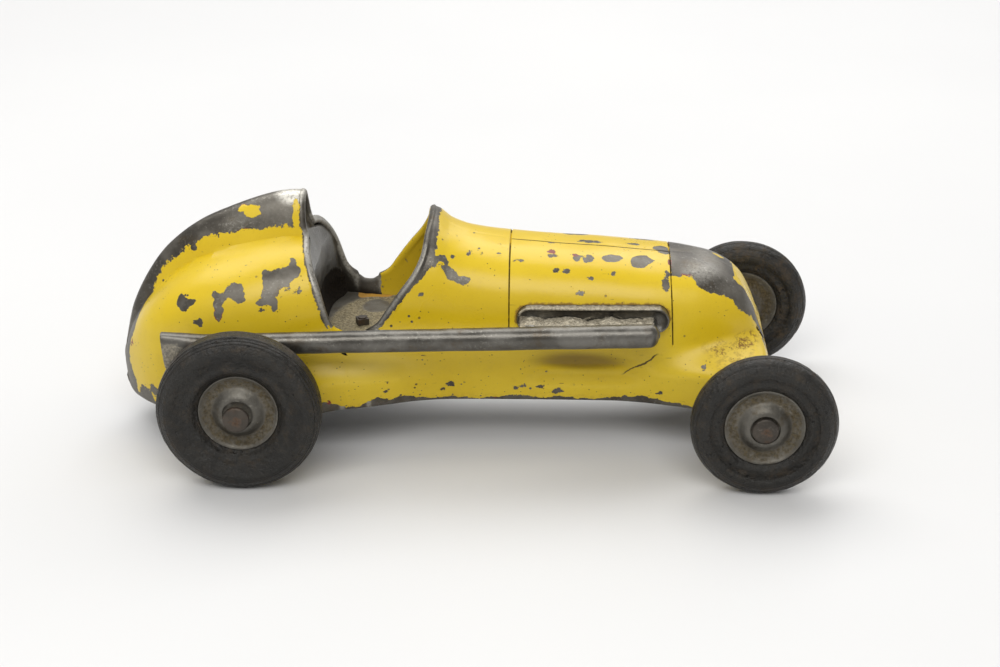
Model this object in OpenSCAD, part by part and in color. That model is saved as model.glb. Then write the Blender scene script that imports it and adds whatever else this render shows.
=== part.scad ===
// Vintage cast-metal racing car with an open cockpit, a side exhaust, rubber tyres
// and a spring motor that is wound by drawing the car backwards.
// +X is forward, +Y is the car's left, +Z is up. The origin is on the ground under the middle.

/* [Wheels] */
// Distance between the front and rear axles
wheelbase = 170; // [169:0.5:171]
// Forward position of the rear axle
rear_axle_x = -73.5; // [-74:0.1:-73]
// Radius of the rear tyres
rear_tyre_r = 27; // [26.5:0.1:27.5]
// Width of the rear tyres
rear_tyre_w = 13; // [12.6:0.1:13]
// Radius of the front tyres
front_tyre_r = 24; // [23.6:0.1:24.2]
// Width of the front tyres
front_tyre_w = 10.8; // [10.4:0.1:11]
// Distance between the middles of a left and a right tyre
track = 103.2; // [103:0.1:104]
// Radius of the hub flanges
hub_r = 13.1; // [12.9:0.1:13.4]
// Radius of both axles
axle_r = 2.4; // [2.2:0.1:2.5]
// Radius of the heads at the ends of the axles
axle_head_r = 4.35; // [4.2:0.05:4.5]

/* [Body] */
// Thickness of the cast walls
wall = 2.4; // [2:0.1:2.6]
// Height of the cockpit sill
sill_z = 43; // [42.6:0.1:43]
// Height of the upper face of the cockpit floor
floor_z = 36; // [35:0.5:37]
// Thickness of the pressed sheet plates
plate_t = 1.6; // [1.2:0.1:1.8]

/* [Exhaust] */
// Radius of the long pipe at its front end
pipe_r = 3.6; // [3.3:0.1:3.7]
// Radius of the long pipe at its rear end
pipe_rear_r = 3.1; // [2.9:0.1:3.2]
// Number of stubs that join the flange to the pipe
stubs = 4; // [3:1:5]

/* [Motor] */
// Gear module, pitch diameter over teeth
gear_m = 0.6; // [0.58:0.01:0.6]
// Teeth on the pinion of the rear axle
axle_teeth = 14; // [14:1:14]
// Teeth on the large wheel of the idler
idler_teeth = 28; // [28:1:28]
// Teeth on the pinion of the idler
pinion_teeth = 12; // [12:1:12]
// Teeth on the gear of the mainspring
spring_teeth = 40; // [40:1:40]
// Play between meshing teeth, along the pitch circle
backlash = 0.24; // [0.2:0.01:0.3]
// Turns of the mainspring
spring_turns = 6; // [4:1:7]

/* [Hidden] */
$fn = 48;
eps = 0.01;
run_gap = 0.05;
fit_gap = 0.15;

// Centre-plane outline of the casting, [forward, height], from the tail to the nose
top_line = [[-120.6, 27], [-119.6, 32.5], [-116.8, 43], [-110.4, 55.5], [-103, 65], [-92, 73.5],
    [-78, 79.8], [-68, 83.2], [-61, 84.7], [-56, 84.6], [-30, 80], [-12, 76.7], [-7, 72.9],
    [0, 70.2], [13, 68.3], [43, 66.2], [64, 64.4], [79, 62.2], [85, 60], [91, 55.4], [95, 48.6],
    [98.7, 38.6], [100.4, 32], [101.2, 28.5]];
// Height where the wide lower body would close over, under the head fairing
shoulder_line = [[-120.6, 26], [-117, 36.5], [-112, 45], [-107, 51], [-100, 57.4], [-90, 63.4],
    [-79, 67], [-69, 69.6], [-56, 71.4], [-44, 73]];
// Half width of the lower body at its widest
body_half = [[-120.6, 1.4], [-119.8, 5], [-118, 9.5], [-114.5, 15], [-110.5, 20], [-105, 24.6],
    [-95, 29], [-85, 31.4], [-73, 32.6], [-62, 32.2], [-52, 30.4], [-42, 28], [-30, 26.4],
    [-12, 25.6], [20, 25.4], [50, 25], [66, 24.2], [78, 22.4], [88, 19.6], [95, 15.6],
    [98.6, 11.6], [100.4, 7.6], [101.2, 4.4]];
// Half width of the head fairing
fairing_half = [[-120.6, 1], [-117, 3.2], [-110, 5.2], [-100, 6.8], [-88, 8], [-70, 9],
    [-50, 9.4]];
// Extra half width of the flared skirt that reaches out towards the wheels
skirt_half = [[-120.6, 0], [-95, 1], [-78, 2.6], [-60, 4], [-48, 5.8], [-38, 6.2], [-28, 4.4],
    [-18, 1.6], [-6, 0], [46, 0], [58, 1.6], [70, 5.4], [80, 10], [89, 16.6], [95, 21.6],
    [98.6, 22], [100.4, 20], [101.2, 15]];
// Height where the flared skirt has died out
skirt_top = [[-120.6, 30], [-48, 38.5], [-18, 35], [50, 36], [72, 39.5], [88, 42], [101.2, 42]];
// Height of the lower edge
edge_line = [[-120.6, 21], [-119.8, 18], [-118.2, 14.8], [-115, 13.6], [-60, 13.6], [-50, 16.2],
    [-42, 17.4], [0, 17.8], [50, 17.8], [101.2, 17.8]];
// Edge of the tail at the cockpit, seen from the side: [height, forward]
rim_line = [[43, -42], [45, -44.4], [49, -46.2], [60, -49.6], [70, -53.8], [74, -55.2],
    [80, -55.8], [86, -55.8]];
// Edge of the cowl at the cockpit: [height, forward]
cowl_line = [[43, -34], [45, -31.2], [50, -27.8], [57, -23], [63, -18.6], [69, -15.8],
    [75, -14.6], [78, -13.8]];

seat_line_x = -49.6;
seat_inset = 2.8;

widest_z = 42;
tuck = 0.16;
body_power = 2.6;
crease_r = 3;
rim_x = rim_line[0][1];
cowl_x = cowl_line[0][1];
tail_end_x = top_line[0][0];
nose_x = top_line[len(top_line) - 1][0];
lower_rows = 8;
upper_rows = 12;

front_axle_x = rear_axle_x + wheelbase;
rear_y = track / 2;
hub_half = 2.9;
bead_r = 11.6;
hub_inner_y = 38.6;
axle_head_t = 1.8;
boss_rise = 1.9;
recess_r = 4.7;
washer_t = 1;
bush_r = 4;

pan_low_z = 14.4;
pan_high_z = 18.6;
pan_slope = [-60.5, -41];
sink_t = 1.1;
front_screw_x = 80;
tail_screw_x = -107;
bolt_x = -38;
screw_r = 1.5;
screw_head_r = 3;
foot_screw_r = 1;

tray_start = 15.4;
tray_end = 66.7;
tray_z = 49.7;
tray_r = 4.65;
tray_face_y = -28.2;
tray_back_y = -21.5;
pipe_front = [60, -35.8, 47.5];
pipe_rear = [-86, -41.1, 45];
fishtail_x = -98.4;

idler_way = 125;
spring_way = 62;
idler_at = [rear_axle_x, rear_tyre_r] + polar(gear_m * (axle_teeth + idler_teeth) / 2, idler_way);
spring_at = idler_at + polar(gear_m * (pinion_teeth + spring_teeth) / 2, spring_way);
// A tooth of each follower falls in a gap of the gear that drives it
idler_turn = idler_way + 180 + 180 / idler_teeth;
spring_turn = spring_way + 180 + 180 / spring_teeth;
arbor_r = 1.5;
motor_y = 13;
motor_t = 1.2;
motor_floor_z = pan_low_z + plate_t;
pillars = [[-90, 21.5], [-59, 21.5], [-61, 61], [-88.5, 47]];
strip_t = 0.45;
spring_in_r = 3;
spring_pitch = 1.2;
spring_out_r = spring_in_r + spring_pitch * spring_turns + strip_t;

function polar(r, a) = [r * cos(a), r * sin(a)];
function cell(t, x, i = 0) = i >= len(t) - 2 || x < t[i + 1][0] ? i : cell(t, x, i + 1);
function slope(t, i) = let(a = max(i - 1, 0), b = min(i + 1, len(t) - 1))
    (t[b][1] - t[a][1]) / (t[b][0] - t[a][0]);
// Smooth curve through the points of an outline
function along(t, x) = let(i = cell(t, x), h = t[i + 1][0] - t[i][0],
    u = min(max((x - t[i][0]) / h, 0), 1))
    t[i][1] * (1 + 2 * u) * pow(1 - u, 2) + t[i + 1][1] * u * u * (3 - 2 * u)
    + h * u * (1 - u) * (slope(t, i) * (1 - u) - slope(t, i + 1) * u);

function top_z(x) = along(top_line, x);
function edge_z(x) = along(edge_line, x);
function shoulder_z(x) = x < -40 ? along(shoulder_line, x) : top_z(x);
function fade(u) = u <= 0 ? 1 : u >= 1 ? 0 : 1 - u * u * (3 - 2 * u);
// Half width of the wide lower body, which closes over at the shoulder
function lower_half(x, z) = let(w = along(body_half, x), s = shoulder_z(x),
    c = min(widest_z, (edge_z(x) + 2 * s) / 3), u = (z - c) / (s - c),
    d = (c - z) / (c - edge_z(x)))
    z < c ? w * (1 - tuck * d * d)
    : u < 1 ? w * pow(1 - pow(u, body_power), 1 / body_power) : (1 - u) * 60;
// Half width of the narrow fairing behind the driver's head
function fairing(x, z) = let(c = min(shoulder_z(x) - 8, top_z(x) - 10),
    u = (z - c) / (top_z(x) - c))
    along(fairing_half, x) * (u <= 0 ? 1 : u < 1 ? sqrt(1 - u * u) : 0);
function flare(x, z) = let(u = (z - edge_z(x)) / (along(skirt_top, x) - edge_z(x)))
    along(skirt_half, x) * fade((u - 0.4) / 0.6);
function either(a, b, r) = (a + b + sqrt((a - b) * (a - b) + r * r)) / 2;
// Half width of the casting at any place along it and any height
function half_y(x, z) = flare(x, z)
    + (x < -40 ? either(lower_half(x, z), fairing(x, z), crease_r) : max(lower_half(x, z), 0));

function rim_at(z) = along(rim_line, z);
function cowl_at(z) = along(cowl_line, z);
// Share of the cockpit edges' slant that a station takes
function rim_share(x) = pow(max(min((x + 80) / (rim_x + 80), 1), 0), 2);
function cowl_share(x) = pow(max(min((14 - x) / (14 - cowl_x), 1), 0), 1.5);
function station_x(x, z) = x <= rim_x ? x + rim_share(x) * (rim_at(z) - rim_x)
    : x < cowl_x ? x : x + cowl_share(x) * (cowl_at(z) - cowl_x);
function split_z(x) = min(sill_z, edge_z(x) + 0.62 * (top_z(x) - edge_z(x)));
function row_z(x, j) = j <= lower_rows
    ? edge_z(x) + (split_z(x) - edge_z(x)) * j / lower_rows
    : split_z(x) + (top_z(x) - split_z(x)) * sin(90 * (j - lower_rows) / upper_rows);
// The slant depends on the height and the height on the slant, so it settles in a few steps
function settled_x(x, j, z, steps = 7) = steps == 0 ? station_x(x, z)
    : settled_x(x, j, row_z(station_x(x, z), j), steps - 1);

rows = lower_rows + upper_rows;
ring = 2 * rows + 1;
stations = concat([for (k = [0:3]) tail_end_x + 0.5 * k * k], [-114, -110, -105.5, -100],
    [for (x = [-94:7:-59]) x], [-52, -48, -45], [rim_x, (rim_x + cowl_x) / 2, cowl_x],
    [-31.5, -27, -21, -13, -5, 4, 14], [for (x = [26:12:62]) x], [70, 77, 83, 88, 92, 95],
    [97.4, 99.2, 100.4, nose_x]);
rim_i = search(rim_x, stations)[0];
cowl_i = search(cowl_x, stations)[0];
last_i = len(stations) - 1;

function outer_point(x0, j) = let(x = settled_x(x0, j, sill_z), z = row_z(x, j))
    [x, j == rows ? 0 : half_y(x, z), z];
// The lining's stations are drawn in at the ends, so the ends are as thick as the sides
function drawn_in(x) = x < -80 ? x + wall * (-80 - x) / (-80 - tail_end_x)
    : x > 60 ? x - wall * (x - 60) / (nose_x - 60) : x;
function inner_point(x0, j) = let(p = outer_point(drawn_in(x0), j), d = 0.2,
    s = (half_y(p[0], p[2] + d) - half_y(p[0], p[2] - d)) / (2 * d),
    n = j == rows ? [0, 1] : j == 0 ? [1, 0] : [1, -s] / sqrt(1 + s * s))
    [p[0], j == rows ? 0 : max(p[1] - wall * n[0], p[1] * 0.3), p[2] - wall * n[1]];
function mirrored(p) = [p[0], -p[1], p[2]];
function section(x0, inner) = let(half = [for (j = [0:rows])
    inner ? inner_point(x0, j) : outer_point(x0, j)])
    concat(half, [for (j = [rows - 1:-1:0]) mirrored(half[j])]);
function at(layer, i, j) = (layer * len(stations) + i) * ring + j;
function quad(a, b, c, d) = [[a, b, c], [a, c, d]];
function open(i, j) = i >= rim_i && i < cowl_i && j >= lower_rows && j < ring - 1 - lower_rows;
// Ties the edge of the outer face from one grid point to the next to the inner face
function rim_quad(i, j, k, l) = quad(at(0, i, j), at(0, k, l), at(1, k, l), at(1, i, j));
function end_cap(layer, i) = [for (j = [0:rows - 1]) each j == rows - 1
    ? [[at(layer, i, j), at(layer, i, j + 1), at(layer, i, j + 2)]]
    : quad(at(layer, i, j), at(layer, i, j + 1), at(layer, i, ring - 2 - j),
        at(layer, i, ring - 1 - j))];
function turned(faces) = [for (f = faces) [f[2], f[1], f[0]]];

// Hollow casting, open underneath and at the cockpit
module cast_shell() {
    points = [for (layer = [0, 1]) for (x = stations) each section(x, layer == 1)];
    skin = [for (i = [0:last_i - 1]) for (j = [0:ring - 2]) if (!open(i, j))
        each quad(at(0, i, j), at(0, i, j + 1), at(0, i + 1, j + 1), at(0, i + 1, j))];
    lining = [for (i = [0:last_i - 1]) for (j = [0:ring - 2]) if (!open(i, j))
        each quad(at(1, i, j), at(1, i + 1, j), at(1, i + 1, j + 1), at(1, i, j + 1))];
    far = ring - 1 - lower_rows;
    edges = [for (i = [0:last_i - 1]) each concat(rim_quad(i, 0, i + 1, 0),
        rim_quad(i + 1, ring - 1, i, ring - 1))];
    sills = [for (i = [rim_i:cowl_i - 1]) each concat(rim_quad(i + 1, lower_rows, i, lower_rows),
        rim_quad(i, far, i + 1, far))];
    hoops = [for (j = [lower_rows:far - 1]) each concat(rim_quad(rim_i, j, rim_i, j + 1),
        rim_quad(cowl_i, j + 1, cowl_i, j))];
    tail = concat(turned(end_cap(0, 0)), end_cap(1, 0),
        rim_quad(0, ring - 1, 0, 0));
    nose = concat(end_cap(0, last_i), turned(end_cap(1, last_i)),
        rim_quad(last_i, 0, last_i, ring - 1));
    polyhedron(points, turned(concat(skin, lining, edges, sills, hoops, tail, nose)));
}

// Cross-wise cylinder from one height along Y to another
module across(r, y0, y1, x = 0, z = 0) {
    translate([x, y0, z]) rotate([-90, 0, 0]) cylinder(r = r, h = y1 - y0);
}

// Half width inside the walls at a place and a height, clear of the lining
function inside_y(x, z) = half_y(x, z + 2.6) - wall - 0.2 - fit_gap;
function pan_y(x) = half_y(x, edge_z(x)) - wall - fit_gap - 0.1;
// Height of the pan's underside: two level stretches joined by a slope
function pan_z(x) = pan_low_z + (pan_high_z - pan_low_z)
    * max(0, min(1, (x - pan_slope[0]) / (pan_slope[1] - pan_slope[0])));

// Level or gently stepped plate between the walls: rows of [x, half width, underside height]
module plate(rows, t) {
    n = len(rows);
    points = [for (r = rows) each [[r[0], r[1], r[2]], [r[0], r[1], r[2] + t],
        [r[0], -r[1], r[2] + t], [r[0], -r[1], r[2]]]];
    sides = [for (i = [0:n - 2]) for (j = [0:3])
        each quad(4 * i + j, 4 * i + (j + 1) % 4, 4 * i + 4 + (j + 1) % 4, 4 * i + 4 + j)];
    first = [[2, 1, 0], [3, 2, 0]];
    last = [[0, 1, 2] + [1, 1, 1] * 4 * (n - 1), [0, 2, 3] + [1, 1, 1] * 4 * (n - 1)];
    polyhedron(points, concat(sides, first, last));
}

// Round boss that hangs from the roof of the casting down to the pan
module screw_boss(x, r) {
    foot_z = pan_z(x) + plate_t;
    roof_z = min(top_z(x - r), top_z(x + r)) - 0.9;
    translate([x, 0, foot_z]) cylinder(r = r, h = roof_z - foot_z);
}

module body_shell() {
    color("gold") difference() {
        union() {
            cast_shell();
            screw_boss(front_screw_x, 4);
            screw_boss(tail_screw_x, 3.6);
        }
        across(axle_r + run_gap, -45, 45, front_axle_x, front_tyre_r);
        across(bush_r + 0.02, -45, 45, rear_axle_x, rear_tyre_r);
        translate([0, -20, 0]) stadium(tray_r + fit_gap, 15);
        translate([front_screw_x, 0, 15]) cylinder(r = screw_r + 0.02, h = 17);
        translate([tail_screw_x, 0, 10]) cylinder(r = screw_r + 0.02, h = 17);
    }
}

module belly_pan() {
    places = concat([for (x = [-115.5:5:-60.5]) x], [for (x = [-56:5:94]) x], [97]);
    color("dimgray") difference() {
        plate([for (x = places) [x, pan_y(x), pan_z(x)]], plate_t);
        for (x = [front_screw_x, tail_screw_x, bolt_x])
            translate([x, 0, pan_z(x)]) sunk_hole(screw_r, screw_head_r);
        motor_foot_places() translate([0, 0, pan_low_z]) sunk_hole(foot_screw_r, 2);
    }
}

module pan_screws() {
    color("gray") for (x = [front_screw_x, tail_screw_x])
        translate([x, 0, pan_z(x)]) sunk_screw(screw_r, screw_head_r, 12);
}

// Countersunk screw that points up, its head level with the origin
module sunk_screw(r, head_r, length) {
    difference() {
        union() {
            cylinder(r = r, h = length);
            cylinder(r1 = head_r, r2 = r, h = sink_t);
        }
        translate([-head_r, -0.35, -1]) cube([2 * head_r, 0.7, 1.5]);
    }
}

// Hole for a countersunk screw, with room all round
module sunk_hole(r, head_r) {
    below = 0.2;
    widening = below * (head_r - r) / sink_t;
    cylinder(r = r + 0.1, h = 5);
    translate([0, 0, -below])
        cylinder(r1 = head_r + 0.1 + widening, r2 = r + 0.1, h = sink_t + below);
}

// Round-headed screw that points up, its head below the origin
module slotted_screw(r, head_r, length) {
    cylinder(r = r, h = length);
    difference() {
        translate([0, 0, -1.1]) cylinder(r1 = head_r * 0.7, r2 = head_r, h = 1.1);
        translate([-head_r, -0.35, -1.2]) cube([2 * head_r, 0.7, 0.6]);
    }
}

module cockpit_floor() {
    color("tan") difference() {
        plate([for (x = [-51.5:4:-15.5]) [x, inside_y(x, floor_z), floor_z - plate_t]], plate_t);
        translate([bolt_x, 0, 30]) cylinder(r = screw_r + 0.1, h = 10);
    }
}

module floor_post() {
    base_z = pan_z(bolt_x) + plate_t;
    color("gray") translate([bolt_x, 0, base_z]) difference() {
        cylinder(r = 3, h = floor_z - plate_t - base_z);
        translate([0, 0, -1]) cylinder(r = screw_r + 0.1, h = 30);
    }
}

module floor_bolt() {
    base_z = pan_z(bolt_x);
    color("gray") translate([bolt_x, 0, base_z])
        sunk_screw(screw_r, screw_head_r, floor_z + 2.6 - base_z);
}

module floor_nut() {
    color("dimgray") translate([bolt_x, 0, floor_z]) rotate(20) difference() {
        translate([-1.9, -1.9, 0]) cube([3.8, 3.8, 2.2]);
        translate([0, 0, -1]) cylinder(r = screw_r + 0.02, h = 5);
    }
}

// Bulkhead that closes the front of the tail
module seat_back() {
    levels = concat([for (k = [0:9]) floor_z + 0.1 + k * 3.7], [71.2, 73, 75, 77, 79, 80.5]);
    n = len(levels);
    points = [for (z = levels) let(x = min(rim_at(z), seat_line_x) - seat_inset,
        y = max(inside_y(x - 1.5, z), 1.5))
        each [[x, y, z], [x, -y, z], [x - plate_t, -y, z], [x - plate_t, y, z]]];
    walls = [for (i = [0:n - 2]) for (j = [0:3])
        each quad(4 * i + j, 4 * i + 4 + j, 4 * i + 4 + (j + 1) % 4, 4 * i + (j + 1) % 4)];
    base = [[0, 1, 2], [0, 2, 3]];
    lid = [[2, 1, 0] + [1, 1, 1] * 4 * (n - 1), [3, 2, 0] + [1, 1, 1] * 4 * (n - 1)];
    color("dimgray") polyhedron(points, turned(concat(walls, base, lid)));
}

// Rounded slot shape on the car's right side
module stadium(r, depth) {
    translate([tray_start + tray_r, 0, tray_z]) rotate([90, 0, 0]) linear_extrude(depth) union() {
        circle(r = r);
        translate([tray_end - tray_start - 2 * tray_r, 0]) circle(r = r);
        translate([0, -r]) square([tray_end - tray_start - 2 * tray_r, 2 * r]);
    }
}

module exhaust() {
    pitch = (tray_end - tray_start - 2 * tray_r) / (stubs - 1) * 0.94;
    color("slategray") difference() {
        union() {
            difference() {
                translate([0, tray_back_y, 0]) stadium(tray_r, tray_back_y - tray_face_y);
                translate([0, tray_face_y + 1.8, 0]) stadium(tray_r - 1.1, 5);
            }
            for (k = [0:stubs - 1])
                across(2.5, pipe_front[1], tray_face_y + 2.2, tray_start + tray_r + k * pitch,
                    pipe_front[2] + 1);
            long_pipe();
            hull() fishtail(pipe_rear_r + 0.3, 6.2, 2.8);
        }
        hull() fishtail(pipe_rear_r - 1, 5.1, 1.6);
        for (x = [tray_start + 13, tray_end - 13]) translate([x, 0, tray_z])
            rotate([90, 0, 0]) cylinder(r = 1.22, h = -tray_face_y - 3.4);
    }
}

// Straight tapered pipe with a rounded front end
module long_pipe() {
    run = pipe_front - pipe_rear;
    nose_r = 2.4;
    translate(pipe_rear) rotate([0, 90 - asin(run[2] / norm(run)), atan2(run[1], run[0])])
        rotate_extrude() polygon(concat([[0, 0], [pipe_rear_r, 0]],
            [for (a = [0:15:90]) [pipe_r - nose_r, norm(run)] + polar(nose_r, a)],
            [[0, norm(run) + nose_r]]));
}

// Round throat and tall narrow mouth of the pipe's end; the smaller hollow one runs past it
module fishtail(throat, tall, narrow) {
    past = throat < pipe_rear_r ? 0.3 : 0;
    translate(pipe_rear + [past, 0, 0]) rotate([0, 90, 0])
        cylinder(r = throat, h = 0.6, $fn = 32);
    translate([fishtail_x - past, pipe_rear[1], pipe_rear[2] - 2.4]) rotate([0, -10, 0])
        translate([0, -narrow, -tall]) cube([0.4, 2 * narrow, 2 * tall]);
}

module exhaust_screws() {
    color("gray") for (x = [tray_start + 13, tray_end - 13])
        translate([x, tray_back_y, tray_z]) rotate([90, 0, 0]) slotted_screw(1.2, 2.6, 2.8);
}

module front_axle() {
    end_y = rear_y + hub_half + 1.1;
    color("dimgray") union() {
        across(axle_r, -end_y, end_y, front_axle_x, front_tyre_r);
        for (s = [-1, 1]) translate([front_axle_x, s * end_y, front_tyre_r])
            rotate([-90 * s, 0, 0]) cylinder(r1 = axle_head_r, r2 = axle_head_r - 0.5,
                h = axle_head_t);
    }
}

module washer_pair(x, z, y) {
    for (s = [-1, 1]) difference() {
        across(4.6, min(s * y, s * (y - washer_t)), max(s * y, s * (y - washer_t)), x, z);
        across(axle_r + run_gap, -60, 60, x, z);
    }
}

module front_washers() {
    color("gray") washer_pair(front_axle_x, front_tyre_r, hub_inner_y - 0.1);
}

module rear_washers() {
    color("gray") washer_pair(rear_axle_x, rear_tyre_r, hub_inner_y - 0.1);
}

// Dished wheel centre with two flanges, a recessed domed boss and a long inner sleeve
module hub(x, z, side, bore_r) {
    translate([x, side * rear_y, z]) rotate([-90 * side, 0, 0]) difference() {
        rotate_extrude() polygon([[0, -rear_y + hub_inner_y], [4.2, -rear_y + hub_inner_y],
            [4.2, -hub_half], [hub_r - 1, -hub_half], [hub_r, -hub_half + 0.5],
            [hub_r, -hub_half + 1.2], [bead_r, -hub_half + 1.2], [bead_r, hub_half - 1.2],
            [hub_r, hub_half - 1.2], [hub_r, hub_half - 0.4], [hub_r - 0.6, hub_half],
            [hub_r - 1.6, hub_half - 0.2], [hub_r - 3, hub_half - 1.5], [8.8, hub_half - 1.9],
            [7.7, hub_half - 0.5], [6.6, hub_half + 1.1], [5.6, hub_half + boss_rise],
            [recess_r, hub_half + boss_rise], [recess_r, hub_half + 0.6], [0, hub_half + 0.6]]);
        translate([0, 0, -30]) cylinder(r = bore_r, h = 60);
    }
}

// Tyre with a rounded tread, three ribs at each shoulder and a bead between the hub flanges
module tyre(x, z, side, r, w) {
    rib = 0.5;
    crown = w / 2 - 3.2;
    flank = [for (a = [90:-15:0]) [r - 5.2, crown] + [5.2 * sin(a), 3.2 * cos(a)]];
    half = concat([[bead_r + fit_gap, 0], [bead_r + fit_gap, hub_half - 1.3],
        [hub_r + 0.1, hub_half - 1.3], [hub_r + 0.9, hub_half - 0.6],
        [hub_r + 3, w / 2 - 1.6], [r - 7.6, w / 2 - 0.2], [r - 6.6, w / 2]],
        [for (k = [0:len(flank) - 1]) flank[len(flank) - 1 - k]], [[r, 0]]);
    translate([x, side * rear_y, z]) rotate([-90 * side, 0, 0]) difference() {
        rotate_extrude($fn = 96) polygon(concat(half,
            [for (k = [len(half) - 2:-1:1]) [half[k][0], -half[k][1]]]));
        for (k = [0:1]) translate([0, 0, w / 2 - 1.5 + 0.7 * k]) rotate_extrude($fn = 96)
            translate([r - 2.6 - 1.3 * k, 0]) square([rib, rib], center = true);
    }
}

module front_left_hub() {
    color("silver") hub(front_axle_x, front_tyre_r, 1, axle_r + run_gap);
}
module front_right_hub() {
    color("silver") hub(front_axle_x, front_tyre_r, -1, axle_r + run_gap);
}
module rear_left_hub() {
    color("silver") hub(rear_axle_x, rear_tyre_r, 1, axle_r + 0.01);
}
module rear_right_hub() {
    color("silver") hub(rear_axle_x, rear_tyre_r, -1, axle_r + 0.01);
}
module front_left_tyre() {
    color("black") tyre(front_axle_x, front_tyre_r, 1, front_tyre_r, front_tyre_w);
}
module front_right_tyre() {
    color("black") tyre(front_axle_x, front_tyre_r, -1, front_tyre_r, front_tyre_w);
}
module rear_left_tyre() {
    color("black") tyre(rear_axle_x, rear_tyre_r, 1, rear_tyre_r, rear_tyre_w);
}
module rear_right_tyre() {
    color("black") tyre(rear_axle_x, rear_tyre_r, -1, rear_tyre_r, rear_tyre_w);
}

module rear_axle() {
    end_y = rear_y + hub_half + 3.7;
    color("dimgray") union() {
        across(axle_r, -end_y, end_y, rear_axle_x, rear_tyre_r);
        for (s = [-1, 1]) translate([rear_axle_x, s * end_y, rear_tyre_r])
            rotate([-90 * s, 0, 0]) cylinder(r1 = axle_head_r, r2 = axle_head_r - 0.5,
                h = axle_head_t);
    }
}

module rear_bushes() {
    color("peru") for (s = [-1, 1]) difference() {
        union() {
            across(bush_r, min(s * 27, s * 37.4), max(s * 27, s * 37.4), rear_axle_x,
                rear_tyre_r);
            across(bush_r + 1.6, min(s * 26, s * 27), max(s * 26, s * 27), rear_axle_x,
                rear_tyre_r);
        }
        across(axle_r + run_gap, -60, 60, rear_axle_x, rear_tyre_r);
    }
}

function turn_of(rb, r) = let(a = acos(min(rb / r, 1))) tan(a) * 180 / PI - a;
// Involute gear outline; one tooth points along the first axis
module gear_outline(teeth, turn) {
    pitch_r = gear_m * teeth / 2;
    base_r = pitch_r * cos(20);
    tip_r = pitch_r + gear_m * 0.92;
    root_r = pitch_r - gear_m * 1.2;
    half = 90 / teeth - backlash / pitch_r * 90 / PI / 2 + turn_of(base_r, pitch_r);
    foot_r = max(base_r, root_r + eps);
    flank = [for (k = [0:3]) let(r = foot_r + (tip_r - foot_r) * k / 3)
        [r, half - turn_of(base_r, r)]];
    polygon([for (t = [0:teeth - 1]) let(a = turn + 360 * t / teeth)
        each concat([polar(root_r, a - flank[0][1] - 0.6)], [for (f = flank) polar(f[0], a - f[1])],
            [for (k = [3:-1:0]) polar(flank[k][0], a + flank[k][1])],
            [polar(root_r, a + flank[0][1] + 0.6)])]);
}

// Gear on a cross-wise axis, between two places along Y, bored for its arbor
module gear(at, teeth, turn, y0, y1, bore) {
    translate([at[0], y1, at[1]]) rotate([90, 0, 0]) linear_extrude(y1 - y0) difference() {
        gear_outline(teeth, turn);
        circle(r = bore);
    }
}

module axle_pinion() {
    color("goldenrod") gear([rear_axle_x, rear_tyre_r], axle_teeth, idler_way, 6, 9.6, axle_r + 0.01);
}
module idler_wheel() {
    color("goldenrod") gear(idler_at, idler_teeth, idler_turn, 6.6, 9, arbor_r + 0.01);
}
module idler_pinion() {
    color("goldenrod") gear(idler_at, pinion_teeth, spring_way, 0.6, 6.5, arbor_r + 0.01);
}
module spring_gear() {
    color("goldenrod") gear(spring_at, spring_teeth, spring_turn, 1.4, 3.8, 2.01);
}

module idler_arbor() {
    color("silver") across(arbor_r, -motor_y - motor_t - 0.6, motor_y + motor_t + 0.6,
        idler_at[0], idler_at[1]);
}

module spring_arbor() {
    color("silver") union() {
        across(2, -motor_y + 0.2, motor_y - 0.2, spring_at[0], spring_at[1]);
        across(arbor_r, -motor_y - motor_t - 0.6, motor_y + motor_t + 0.6, spring_at[0],
            spring_at[1]);
    }
}

module mainspring() {
    steps = spring_turns * 24;
    side = [for (k = [0:steps]) [spring_in_r + spring_pitch * k / 24, k * 15]];
    color("steelblue") translate([spring_at[0], -1, spring_at[1]]) rotate([90, 0, 0])
        linear_extrude(9) polygon(concat([for (s = side) polar(s[0], s[1])],
            [for (k = [steps:-1:0]) polar(side[k][0] + strip_t, side[k][1])]));
}

module spring_post() {
    color("silver") across(1.1, -motor_y, -0.4, spring_at[0] + spring_out_r + 1.12, spring_at[1]);
}

module motor_foot_places() {
    for (s = [-1, 1]) for (x = [-84, -66]) translate([x, s * 17.6, 0]) children();
}

// Side plate with two bearing holes, the axle hole and two feet
module motor_plate(side) {
    color("lightsteelblue") difference() {
        union() {
            translate([0, side > 0 ? motor_y + motor_t : -motor_y, 0]) rotate([90, 0, 0])
                linear_extrude(motor_t) polygon([[-93, motor_floor_z], [-61, motor_floor_z],
                    [-56, motor_floor_z + 1.5], [-56, 60], [-60, 64.5], [-74, 64.5], [-84, 58], [-93, 48]]);
            for (x = [-84, -66]) translate([x - 3, side > 0 ? motor_y : -motor_y - 7.4,
                motor_floor_z]) cube([6, 7.4, motor_t]);
        }
        across(axle_r + 0.3, -40, 40, rear_axle_x, rear_tyre_r);
        across(arbor_r + run_gap, -40, 40, idler_at[0], idler_at[1]);
        across(arbor_r + run_gap, -40, 40, spring_at[0], spring_at[1]);
        for (p = pillars) across(1.02, -40, 40, p[0], p[1]);
        motor_foot_places() translate([0, 0, 10]) cylinder(r = foot_screw_r + 0.1, h = 15);
    }
}

module motor_plate_left() {
    motor_plate(1);
}
module motor_plate_right() {
    motor_plate(-1);
}

module motor_pillars() {
    color("silver") for (p = pillars) difference() {
        across(1.8, -motor_y, motor_y, p[0], p[1]);
        for (s = [-1, 1]) across(1.02, min(s * 8, s * 14), max(s * 8, s * 14), p[0], p[1]);
    }
}

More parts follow.
